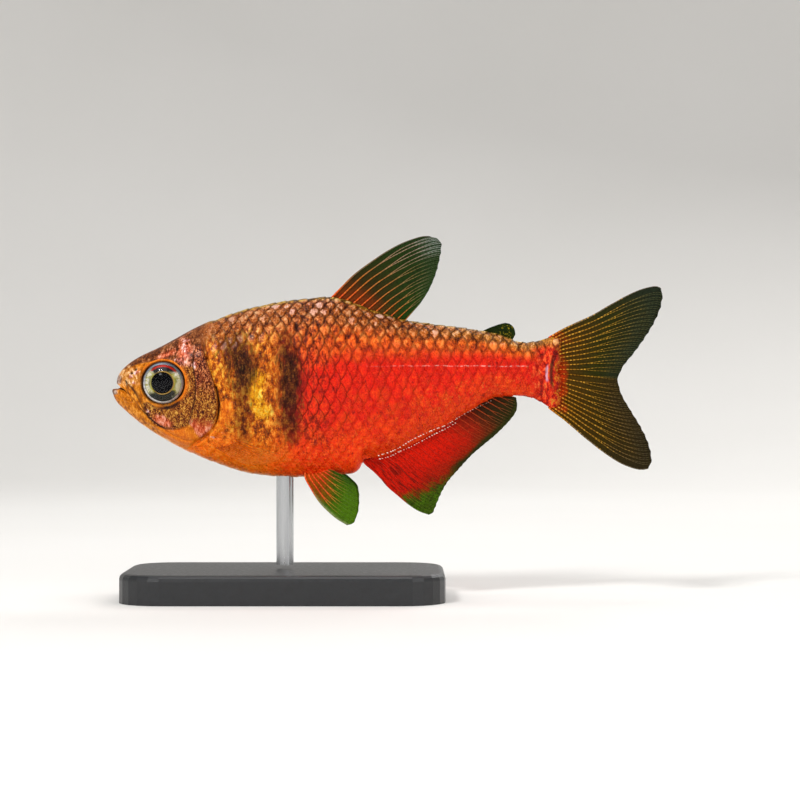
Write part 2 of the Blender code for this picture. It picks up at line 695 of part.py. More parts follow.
def make_stand(base_material, rod_material):
    """A flat base with rounded corners, and one rod that ends in a hole in the belly."""
    work = bmesh.new()
    bmesh.ops.create_cube(work, size=1.0)
    for vert in work.verts:
        vert.co.x = (STAND_X + vert.co.x * BASE_LENGTH) * MM
        vert.co.y *= BASE_WIDTH * MM
        vert.co.z = (vert.co.z + 0.5) * BASE_THICKNESS * MM
    middle = BASE_THICKNESS / 2 * MM
    corners = [e for e in work.edges if (e.verts[0].co.z > middle) != (e.verts[1].co.z > middle)]
    bmesh.ops.bevel(work, geom=corners, offset=BASE_CORNER * MM, segments=CORNER_SEGMENTS,
                    profile=0.5, affect="EDGES")
    top_rim = [e for e in work.edges if all(v.co.z > middle for v in e.verts)]
    bmesh.ops.bevel(work, geom=top_rim, offset=BASE_BEVEL * MM, segments=BEVEL_SEGMENTS,
                    profile=0.5, affect="EDGES")
    mesh = bpy.data.meshes.new("stand_base")
    work.to_mesh(mesh)
    work.free()
    base = bpy.data.objects.new("stand_base", mesh)
    bpy.context.scene.collection.objects.link(base)
    rod = upright("stand_rod", ROD_RADIUS, BASE_THICKNESS + GAP - AXIS_HEIGHT,
                  belly(STAND_X) + ROD_DEPTH_IN_BODY)
    return finish(base, base_material), finish(rod, rod_material)


def seated_patch(fin, line, clearance):
    """The patch of a fin that stands on the back or under the belly."""
    root = along_body(fin, line, clearance)
    seated = {"front": [tuple(root(0.0))] + fin["front"][1:], "margin": fin["margin"],
              "rear": [tuple(root(1.0))] + fin["rear"][1:]}
    return fin_patch(seated, root)


def make_median_fins(web):
    patches = {
        "dorsal_fin": (DORSAL_SIDES, seated_patch(DORSAL_SIDES, back, GAP)),
        "anal_fin": (ANAL_SIDES, seated_patch(ANAL_SIDES, belly, -GAP)),
        "adipose_fin": (ADIPOSE_SIDES, seated_patch(ADIPOSE_SIDES, back, GAP)),
        "tail_fin_upper": (TAIL_UPPER_SIDES, fin_patch(TAIL_UPPER_SIDES)),
        "tail_fin_lower": (TAIL_LOWER_SIDES, fin_patch(TAIL_LOWER_SIDES)),
    }
    for name, (fin, patch) in patches.items():
        finish(fin_solid(name, fin, patch), web)


def make_paired_fins(web):
    """The left fins, trimmed a gap clear of the body, and their mirror images."""
    for name, fin in (("pelvic_fin", PELVIC_SIDES), ("pectoral_fin", PECTORAL_SIDES)):
        left = fin_solid(name + "_left", fin, fin_patch(fin))
        combine(left, body_solid("clearance", GAP), "DIFFERENCE")
        finish(keep_largest(left), web)
        finish(mirrored(name + "_right", left), web)


def main():
    clear_scene()
    flesh = make_material("flesh", (0.75, 0.12, 0.03))
    head_skin = make_material("head_skin", (0.55, 0.25, 0.06))
    web = make_material("fin_web", (0.35, 0.16, 0.03))
    eye_gloss = make_material("eye", (0.55, 0.55, 0.4), roughness=0.08)
    base_paint = make_material("stand_paint", (0.02, 0.02, 0.022), roughness=0.45)
    steel = make_material("stand_steel", (0.6, 0.6, 0.6), roughness=0.25, metallic=1.0)
    tail_cut_x = ANAL_SIDES["rear"][0][0] + GAP
    make_head(head_skin)
    make_lower_jaw(head_skin)
    cover = make_gill_cover("gill_cover_left", head_skin)
    finish(mirrored("gill_cover_right", cover), head_skin)
    make_eye("eye_left", -1, eye_gloss)
    make_eye("eye_right", 1, eye_gloss)
    make_trunk(flesh, tail_cut_x)
    make_tail_stalk(flesh, tail_cut_x)
    make_median_fins(web)
    make_paired_fins(web)
    make_stand(base_paint, steel)


main()
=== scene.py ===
import math
import random

import bmesh
import bpy
import numpy as np
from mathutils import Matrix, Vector


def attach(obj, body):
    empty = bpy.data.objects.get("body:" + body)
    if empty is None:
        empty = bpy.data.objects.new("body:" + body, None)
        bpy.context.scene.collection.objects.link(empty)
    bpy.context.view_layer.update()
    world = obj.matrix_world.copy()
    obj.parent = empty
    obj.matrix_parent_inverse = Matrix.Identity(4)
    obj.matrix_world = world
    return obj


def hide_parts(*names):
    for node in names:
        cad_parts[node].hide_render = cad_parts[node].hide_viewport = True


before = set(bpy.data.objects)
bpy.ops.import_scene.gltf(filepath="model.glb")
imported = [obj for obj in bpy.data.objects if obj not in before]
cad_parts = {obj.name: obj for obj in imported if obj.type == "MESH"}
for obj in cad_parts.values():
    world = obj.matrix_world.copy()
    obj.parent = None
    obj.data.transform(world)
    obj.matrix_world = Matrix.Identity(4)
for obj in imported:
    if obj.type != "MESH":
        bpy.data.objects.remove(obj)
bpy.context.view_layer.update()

millimetre = 0.001
axisHeight = 14.8


def toFrame(points):
    # fish millimetres to metres over the surface that the stand rests on
    placed = np.array(points, float)
    placed[..., 2] += axisHeight
    return placed * millimetre


def linearColour(value):
    # a screen colour such as "d22a10" as the linear colour that a shader takes; the rest stays as it is
    if not isinstance(value, str):
        return value
    channels = [int(value[i:i + 2], 16) / 255 for i in (0, 2, 4)]
    return tuple(c / 12.92 if c < 0.04 else ((c + 0.055) / 1.055) ** 2.4 for c in channels) + (1.0,)


def ease(low, high, value):
    t = np.clip((np.asarray(value, float) - low) / (high - low), 0, 1)
    return t * t * (3 - 2 * t)


def bell(value, width):
    return np.exp(-(np.asarray(value, float) / width) ** 2)


# The body's own outline and sections, the same sizes as the solids have
bodyShape = {
    "tailBaseX": 11.28,
    "back": [(-18.95, -0.40), (-18.80, -0.05), (-18.70, 0.25), (-18.17, 1.03), (-17.35, 1.66),
             (-15.69, 2.48), (-12.38, 4.21), (-9.07, 5.31), (-5.76, 5.86), (-4.10, 5.98),
             (-0.79, 5.00), (1.07, 4.43), (5.83, 3.76), (7.76, 3.38), (9.30, 2.86), (11.28, 3.17)],
    "belly": [(-18.95, -0.55), (-18.83, -1.00), (-18.17, -1.79), (-15.69, -3.66), (-12.38, -5.31),
              (-9.07, -6.31), (-6.50, -6.52), (-3.97, -6.41), (-2.50, -6.26), (-1.86, -5.84),
              (-1.62, -5.25), (-0.62, -5.18), (2.38, -3.93), (5.69, -1.95), (7.48, -1.03),
              (9.30, -0.92), (11.28, -1.72)],
    "ventSpan": (-3.5, 0.5),
    "ventReach": 0.72,  # how far round the section the vent's notch climbs, as a cosine
    "halfWidth": [(-18.95, 0.30), (-18.60, 0.72), (-17.90, 1.12), (-17.00, 1.50), (-15.50, 2.02),
                  (-13.50, 2.42), (-11.50, 2.60), (-8.50, 2.62), (-5.00, 2.45), (-1.50, 2.10),
                  (2.50, 1.62), (6.00, 1.18), (9.00, 0.85), (11.28, 0.42)],
    "widestLevel": [(-18.95, -0.42), (-17.30, -0.25), (-15.50, -0.10), (-11.50, -0.30),
                    (-7.00, -0.70), (-3.00, -0.30), (0.50, 0.35), (4.00, 0.70), (8.00, 1.05),
                    (11.28, 0.75)],
    "upperFullness": [(-18.95, 0.85), (-15.0, 0.95), (-9.0, 1.08), (2.0, 1.05), (11.28, 0.95)],
    "lowerFullness": [(-18.95, 0.85), (-14.0, 0.92), (-6.0, 0.84), (-2.5, 0.95), (-0.5, 1.15),
                      (5.0, 1.12), (11.28, 0.95)],
}


def smoothLine(points):
    # a function of x through the points, with slopes that never overshoot them
    x, z = np.array(points, float).T
    run = np.diff(x)
    rise = np.diff(z) / run
    slope = np.concatenate([rise[:1], np.zeros(len(x) - 2), rise[-1:]])
    for i in range(1, len(x) - 1):
        if rise[i - 1] * rise[i] > 0:
            before, after = 2 * run[i] + run[i - 1], run[i] + 2 * run[i - 1]
            slope[i] = (before + after) / (before / rise[i - 1] + after / rise[i])

    def value(at):
        at = np.clip(at, x[0], x[-1])
        i = np.clip(np.searchsorted(x, at, side="right") - 1, 0, len(run) - 1)
        t = (at - x[i]) / run[i]
        return ((2 * t**3 - 3 * t**2 + 1) * z[i] + (t**3 - 2 * t**2 + t) * run[i] * slope[i]
                + (3 * t**2 - 2 * t**3) * z[i + 1] + (t**3 - t**2) * run[i] * slope[i + 1])

    return value


def smoothPath(points, steps=12):
    # a function of 0 to 1 that runs at an even pace along a rounded line through the points
    p = np.array(points, float)
    p = np.vstack([2 * p[0] - p[1], p, 2 * p[-1] - p[-2]])
    dense = [p[1]]
    for i in range(1, len(p) - 2):
        for t in np.linspace(0, 1, steps + 1)[1:]:
            dense.append(0.5 * (2 * p[i] + (p[i + 1] - p[i - 1]) * t
                                + (2 * p[i - 1] - 5 * p[i] + 4 * p[i + 1] - p[i + 2]) * t**2
                                + (3 * p[i] - p[i - 1] - 3 * p[i + 1] + p[i + 2]) * t**3))
    dense = np.array(dense)
    along = np.concatenate([[0], np.cumsum(np.linalg.norm(np.diff(dense, axis=0), axis=1))])
    along /= along[-1]
    return lambda t: np.stack([np.interp(t, along, column) for column in dense.T], -1)


backLine = smoothLine(bodyShape["back"])
bellyLine = smoothLine(bodyShape["belly"])
underside = smoothLine([p for p in bodyShape["belly"]
                        if not bodyShape["ventSpan"][0] < p[0] < bodyShape["ventSpan"][1]])
halfWidth = smoothLine(bodyShape["halfWidth"])
widestLevel = smoothLine(bodyShape["widestLevel"])
upperFullness = smoothLine(bodyShape["upperFullness"])
lowerFullness = smoothLine(bodyShape["lowerFullness"])


def bodyPoints(x, angle):
    # points of the body's surface; the angle runs from the back over the left flank to the belly
    x, angle = np.broadcast_arrays(np.asarray(x, float), np.asarray(angle, float))
    across, up = np.sin(angle), np.cos(angle)
    level = widestLevel(x)
    low = np.minimum(underside(x), bellyLine(x))
    reach = np.where(up >= 0, backLine(x) - level, level - low)
    power = np.where(up >= 0, upperFullness(x), lowerFullness(x))
    near = ease(bodyShape["ventReach"], 1, -up)
    y = -np.sign(across) * np.abs(across) ** power * halfWidth(x)
    return np.stack([x, y, level + reach * up + (bellyLine(x) - low) * near], -1)


def flankY(x, z):
    # half width of the body at a place seen from the side
    level = widestLevel(x)
    reach = np.where(z >= level, backLine(x) - level, level - underside(x))
    power = np.where(z >= level, upperFullness(x), lowerFullness(x))
    up = np.minimum(1, np.abs(z - level) / reach)
    return np.sqrt(1 - up * up) ** power * halfWidth(x)


# The camera's place in the photo: its distance, and what it looks at on the fish's middle plane
photoView = {"distance": 153.3, "middle": (0.862, -1.17)}


def seenPlace(points):
    # where the photo's camera sees each point, measured on the fish's middle plane
    x, y, z = np.moveaxis(np.asarray(points, float), -1, 0)
    nearer = photoView["distance"] / (photoView["distance"] - np.abs(y))
    middleX, middleZ = photoView["middle"]
    return middleX + (x - middleX) * nearer, middleZ + (z - middleZ) * nearer


def pathDistance(x, z, path, steps=60):
    # distance from a line seen from the side, and on which side and how far along it each point is
    line = path(np.linspace(0, 1, steps + 1))
    best = np.full(np.shape(x), 1e9)
    hand, share = np.zeros(np.shape(x)), np.zeros(np.shape(x))
    for i in range(steps):
        ax, az = line[i]
        dx, dz = line[i + 1] - line[i]
        t = np.clip(((x - ax) * dx + (z - az) * dz) / (dx * dx + dz * dz), 0, 1)
        away = np.hypot(x - ax - t * dx, z - az - t * dz)
        nearer = away < best
        best = np.where(nearer, away, best)
        hand = np.where(nearer, np.sign(dx * (z - az) - dz * (x - ax)), hand)
        share = np.where(nearer, (i + t) / steps, share)
    return best, hand, share


# Meshes and objects
def writeMesh(name, work):
    mesh = bpy.data.meshes.new(name)
    work.to_mesh(mesh)
    work.free()
    return mesh


def linked(name, data):
    made = bpy.data.objects.new(name, data)
    bpy.context.scene.collection.objects.link(made)
    return made


def newPiece(name, mesh, material, slotName, *replaced):
    # an object at the origin that rides on the fish
    piece = linked(name, mesh)
    mesh.materials.append(material)
    mesh.shade_smooth()
    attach(piece, "root")
    if replaced:
        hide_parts(*replaced)


def storeValues(mesh, name, values):
    # one value for each vertex, under a name that materials look up
    layer = mesh.attributes.new(name, "FLOAT", "POINT")
    layer.data.foreach_set("value", np.asarray(values, np.float32).ravel())


def spinProfile(profile, steps, least):
    # turns a line of (radius, height) places round the z axis and joins points nearer than the least
    work = bmesh.new()
    verts = [work.verts.new((radius, 0, height)) for radius, height in profile]
    edges = [work.edges.new(pair) for pair in zip(verts, verts[1:])]
    bmesh.ops.spin(work, geom=verts + edges, cent=(0, 0, 0), axis=(0, 0, 1), dvec=(0, 0, 0),
                   angle=2 * math.pi, steps=steps, use_merge=True)
    bmesh.ops.remove_doubles(work, verts=work.verts, dist=least)
    bmesh.ops.recalc_face_normals(work, faces=work.faces)
    return work


# Materials: one small class wraps a socket, so that shader maths reads as plain expressions
class Wire:
    def __init__(self, tree, socket=None):
        self.tree, self.socket = tree, socket

    def node(self, kind, settings=None, inputs=None, output=0):
        made = self.tree.nodes.new("ShaderNode" + kind)
        for name, value in (settings or {}).items():
            if name == "stops":
                self.setStops(made.color_ramp, value)
            else:
                setattr(made, name, value)
        for place, value in (inputs or {}).items():
            self.plug(made.inputs[place], value)
        return Wire(self.tree, made.outputs[output])

    def plug(self, socket, value):
        if isinstance(value, Wire):
            self.tree.links.new(value.socket, socket)
        else:
            socket.default_value = linearColour(value)

    def setStops(self, ramp, stops):
        while len(ramp.elements) < len(stops):
            ramp.elements.new(0.5)
        for element, (place, colour) in zip(ramp.elements, stops):
            element.position, element.color = place, linearColour(colour)

    def maths(self, operation, *others):
        return self.node("Math", {"operation": operation}, dict(enumerate((self, *others))))

    def __add__(self, other):
        return self.maths("ADD", other)

    __radd__ = __add__

    def __mul__(self, other):
        return self.maths("MULTIPLY", other)

    __rmul__ = __mul__

    def __sub__(self, other):
        return self.maths("SUBTRACT", other)

    def __rsub__(self, other):
        return self * -1 + other

    def __truediv__(self, other):
        return self.maths("DIVIDE", other)

    def __abs__(self):
        return self.maths("ABSOLUTE")

    def step(self, low, high):
        return self.node("MapRange", {"interpolation_type": "SMOOTHSTEP"},
                         {"Value": self, "From Min": low, "From Max": high})

    def mix(self, below, above):
        # this value chooses between two colours
        return self.node("Mix", {"data_type": "RGBA"}, {0: self, 6: below, 7: above}, 2)

    def shaded(self, by, share=1.0):
        # this colour multiplied by another, as far as the share says
        return self.node("Mix", {"data_type": "RGBA", "blend_type": "MULTIPLY"},
                         {0: share, 6: self, 7: by}, 2)

    def split(self):
        parts = self.node("SeparateXYZ", {}, {0: self}).socket.node
        return [Wire(self.tree, output) for output in parts.outputs]

    def ramp(self, *stops):
        return self.node("ValToRGB", {"stops": stops}, {0: self})

    def noise(self, scale, detail=2.0, roughness=0.5, squash=(1, 1, 1)):
        # the scale is in cells per millimetre
        stretched = self.node("VectorMath", {"operation": "MULTIPLY"}, {0: self, 1: squash})
        return self.node("TexNoise", {}, {"Vector": stretched, "Scale": scale / millimetre,
                                          "Detail": detail, "Roughness": roughness})

    def cells(self, scale):
        # one random value for each small cell
        made = self.node("TexVoronoi", {}, {"Vector": self, "Scale": scale / millimetre}, "Color")
        return self.node("SeparateColor", {}, {0: made})

    def bump(self, height, depth):
        # the depth is in millimetres
        return self.node("Bump", {}, {"Height": height, "Distance": depth * millimetre})


def newMaterial(name):
    material = bpy.data.materials.new(name)
    material.use_nodes = True
    tree = material.node_tree
    start = Wire(tree)
    coordinates = start.node("TexCoord", output="Object")
    return material, start, coordinates, tree.nodes["Principled BSDF"]


def dress(start, shader, sockets):
    for name, value in sockets.items():
        start.plug(shader.inputs[name], value)


def mark(start, name):
    return start.node("Attribute", {"attribute_name": name}, output="Fac")


# Markings, painted shade and painted highlights: soft masks worked out once for a place on the fish, for
# skin and coat alike
markings = {
    "bars": [  # height, middle x, half width
        [(4.6, -10.75, 0.55), (2.90, -10.50, 0.80), (1.52, -10.12, 0.78), (0.55, -9.95, 0.72),
         (-0.34, -10.12, 0.60), (-1.31, -10.08, 0.52), (-2.76, -10.05, 0.44), (-4.2, -9.80, 0.30)],
        [(4.4, -7.15, 0.30), (2.48, -6.98, 0.52), (1.17, -6.72, 0.62), (-0.28, -6.62, 0.66),
         (-1.31, -6.78, 0.66), (-2.34, -6.82, 0.60), (-3.45, -6.68, 0.46), (-4.6, -6.50, 0.28)],
    ],
    "barEnds": (-4.9, -3.4, 2.6, 4.6),  # faint below the first, full from the second to the third
    "blotch": [(-9.0, 0.4), (-9.1, -0.6), (-9.0, -1.4), (-8.55, -2.0)],
    "gillOpening": [(-12.35, 4.80), (-12.66, 3.90), (-12.73, 2.62), (-12.45, 1.45),
                    (-12.04, 0.21), (-11.72, -1.17), (-11.76, -2.21), (-12.10, -3.10),
                    (-12.75, -3.75), (-13.60, -4.35), (-14.35, -5.20)],
    "gillCoverSpan": (0.19, 0.83),
    "gillCoverFront": [(-14.00, -3.35), (-13.60, -2.40), (-13.32, -1.20), (-13.24, 0.00),
                       (-13.42, 1.20), (-13.36, 2.20)],
    "mouth": [(-19.60, -0.30), (-18.75, -0.36), (-18.33, -0.47), (-18.05, -0.75), (-17.67, -1.25)],
    "maxilla": [(-18.05, 0.20), (-17.72, -0.10), (-17.05, -1.05), (-16.52, -2.05),
                (-16.72, -2.12), (-17.30, -1.38), (-17.90, -0.55), (-18.05, 0.20)],
    "jawEdge": [(-17.67, -1.25), (-17.15, -1.72), (-16.50, -2.45), (-15.60, -3.10),
                (-14.50, -3.75), (-13.60, -3.95), (-12.75, -3.75)],
    "gularFold": [(-16.60, -2.85), (-15.40, -3.65), (-14.10, -4.35), (-13.00, -4.55)],
    "cheekEdge": [(-18.13, 0.17), (-17.56, -0.46), (-17.05, -1.29), (-16.60, -2.19), (-16.03, -2.76),
                  (-15.40, -3.14), (-14.66, -3.22), (-13.97, -3.05), (-13.40, -2.60)],
    "cheek": [(-16.95, -1.40), (-16.63, -2.25), (-16.16, -2.86), (-15.47, -3.12), (-14.66, -3.18),
              (-13.97, -3.02), (-13.35, -2.50), (-13.10, -1.20), (-13.05, 0.30), (-13.35, 1.30),
              (-13.95, 1.20), (-14.10, 0.30), (-14.15, -0.70), (-14.80, -1.45), (-15.80, -1.70),
              (-16.50, -1.30)],
    "crownEdge": [(-19.0, 0.80), (-18.0, 0.92), (-17.5, 1.18), (-16.5, 1.42), (-15.5, 1.55),
                  (-14.6, 1.00), (-13.9, 0.30), (-13.2, -0.10), (-12.0, -0.30)],
    "nostrils": [(-17.70, 0.72), (-17.42, 0.98)],
    "patches": {  # soft ovals: middle, radii, tilt and strength
        # shine: painted highlights, pink and white, on the head and at the gill cover's lower corner
        "shine": [((-14.32, 1.5), (0.40, 0.28), -30, 1), ((-13.95, 2.3), (0.26, 0.42), 10, 1),
                  ((-13.3, 1.25), (0.26, 0.24), 0, 1), ((-13.85, 2.95), (0.34, 0.13), 20, 1),
                  ((-17.75, 0.42), (0.20, 0.16), 0, 1), ((-17.3, 0.72), (0.26, 0.15), 40, 1),
                  ((-17.5, 0.0), (0.14, 0.12), 0, 1), ((-16.55, -1.95), (0.30, 0.10), -40, 1),
                  ((-11.9, -3.74), (0.36, 0.06), -4, 1), ((-12.4, -3.66), (0.20, 0.06), -40, 1)],
        "rosy": [((-15.5, -2.65), (0.85, 0.36), -22, 1), ((-14.0, 2.2), (0.7, 1.1), 0, 0.8),
                 ((-15.2, 1.98), (1.0, 0.30), 24, 0.8)],
        "snout": [((-17.75, 0.45), (0.75, 0.60), 0, 1)],
        "lips": [((-18.65, 0.25), (0.34, 0.34), 0, 1), ((-18.88, -0.62), (0.22, 0.20), 0, 1)],
    },
    "eye": (-15.50, 0.0, 1.49),  # as the camera sees it
    "eyeMiddle": -15.29,  # its true x on the fish
}

openingPath = smoothPath(markings["gillOpening"])
mouthPath = smoothPath(markings["mouth"])
maxillaPath = smoothPath(markings["maxilla"])
crownEdge = smoothLine(markings["crownEdge"])
eyeX, eyeZ, eyeRadius = markings["eye"]


def softPatch(x, z, middle, radii, tilt, strength):
    # a soft oval, full at its middle and half way down at its edge
    turn = math.radians(tilt)
    dx, dz = x - middle[0], z - middle[1]
    a = (dx * math.cos(turn) + dz * math.sin(turn)) / radii[0]
    b = (dz * math.cos(turn) - dx * math.sin(turn)) / radii[1]
    return strength * np.exp(-0.69 * (a * a + b * b))


def barMask(x, z):
    ends = markings["barEnds"]
    mask = np.zeros(np.shape(x))
    for bar in markings["bars"]:
        heights, middles, halves = np.array(bar[::-1], float).T
        middle, half = np.interp(z, heights, middles), np.interp(z, heights, halves)
        mask = np.maximum(mask, np.clip(1 - np.abs(x - middle) / (2 * half), 0, 1))
    return mask * ease(ends[0], ends[1], z) * (1 - ease(ends[2], ends[3], z))


def placeMasks(x, z):
    # every mask that the markings, the painted shadow under the eye and the painted highlights need, by
    # name, at places seen from the side
    away, hand, share = pathDistance(x, z, openingPath)
    behind = away * hand
    eyeAway = np.hypot(x - eyeX, z - eyeZ)
    blotch, _, _ = pathDistance(x, z, smoothPath(markings["blotch"]), 12)
    front, side, _ = pathDistance(x, z, smoothPath(markings["gillCoverFront"]), 20)
    low, high = markings["gillCoverSpan"]
    inSpan = ease(low - 0.03, low + 0.05, share) * (1 - ease(high - 0.04, high + 0.03, share))
    cover = ease(0.02, -0.1, behind) * inSpan * ease(-0.15, 0.15, -front * side)
    outline = markings["cheek"]
    edge, _, _ = pathDistance(x, z, smoothPath(outline + outline[:1]), 80)
    inCheek = np.where(insideOutline(x, z, outline), edge, -edge)
    up, rear = (z - eyeZ) / np.maximum(eyeAway, 0.1), (x - eyeX) / np.maximum(eyeAway, 0.1)
    ringEdge = eyeAway - eyeRadius
    ringUpper = bell(ringEdge - 0.08, 0.12) * (0.25 + 0.75 * ease(0.2, 0.8, np.maximum(up, rear)))
    ringRear = bell(ringEdge - 0.20, 0.22) * ease(0.35, 0.9, rear) * 0.6
    ringShade = bell(ringEdge - 0.24, 0.20) * ease(-0.50, -0.90, up)
    masks = {
        "bars": barMask(x, z),
        "blotch": 1 - ease(0.05, 0.95, blotch),
        "behind": np.clip(behind / 4 + 0.5, 0, 1),
        "cover": cover,
        "eyeRing": np.maximum(ringUpper, ringRear),
        "eyeBelow": ringShade * (0.4 + 0.6 * ease(-0.5, 0.1, rear)),
        "shoulder": bell(behind - 0.65, 0.6) * ease(-0.3, -1.7, z) * ease(-4.4, -2.6, z),
        "cheek": ease(-0.12, 0.16, inCheek),
        "crown": ease(-0.18, 0.22, z - crownEdge(x)),
    }
    for name, ovals in markings["patches"].items():
        masks[name] = np.maximum.reduce([softPatch(x, z, *oval) for oval in ovals])
    return masks


def paintMasks(mesh, around):
    # stores the masks, and each point's share of the way round the body, on the mesh
    points = np.empty(len(mesh.vertices) * 3)
    mesh.vertices.foreach_get("co", points)
    points = points.reshape(-1, 3) / millimetre
    masks = placeMasks(*seenPlace(points - (0, 0, axisHeight)))
    masks["around"] = around
    for name, values in masks.items():
        storeValues(mesh, name, values)


fishTones = {  # each place's speckle, from its darkest fleck to its palest
    "flank": "b80c04 da1604 ea2208 f6440e",
    "flankLow": "c82406 e03004 ec3e06 f86c18",
    "fore": "6c2a06 a84a08 d87008 f8b63c",
    "foreRed": "6c2206 aa4206 d25c06 f69834",
    "blotch": "b05c08 ee9c08 ffb40a ffdc58",
    "bar": "100502 200a04 401806 844814",
    "back": "441804 8e420e bc6218 e8ac74",
    "backRear": "5c3810 ac7020 d89c3c f6d898",
    "backRed": "902c04 d04c0a e86410 f48c3c",
    "belly": "e05004 fc6c04 ff7e08 ffb250",
    "bellyRed": "dc2404 f63404 fc4606 ff7c2c",
    "rim": "e48844 faa85c ffbe78 ffe0b4",
    "ridge": "4a2c0c 8a5c10 c09018 f4d868",
    "cheek": "2e0e06 702e0c 9c5410 dca446",
    "cover": "200806 4e180a 863414 d88850",
    "crown": "281008 58280e 844418 bc7c4c",
    "snout": "8c4c14 bc7428 d48e40 f8d09c",
    "jaw": "8e4a02 bc6604 d47c0c eea03c",
    "throat": "c45406 dc680a ea7e12 f8a436",
    "rosy": "8c2c10 c04c28 d4683c eea488",
    "pink": "7c2c20 a04c3a c47462 fcdcd4",
    "lip": "58392a 80604e a2826e d0b8ac",
    "stalk": "7c0c08 c41c06 e42e08 fa6c34",
    "rayRoot": "4a1a04 8c3408 b4560c e09824",
}
fishTones = {name: codes.split() for name, codes in fishTones.items()}
fleckStops = (0.20, 0.40, 0.56, 0.80)  # where the four tones stand in a speckle's grain
# the colour of the painted shade in creases, and of the dark pigment on the scales' free edges
creaseShadeAndHemTone = "2a0d07"


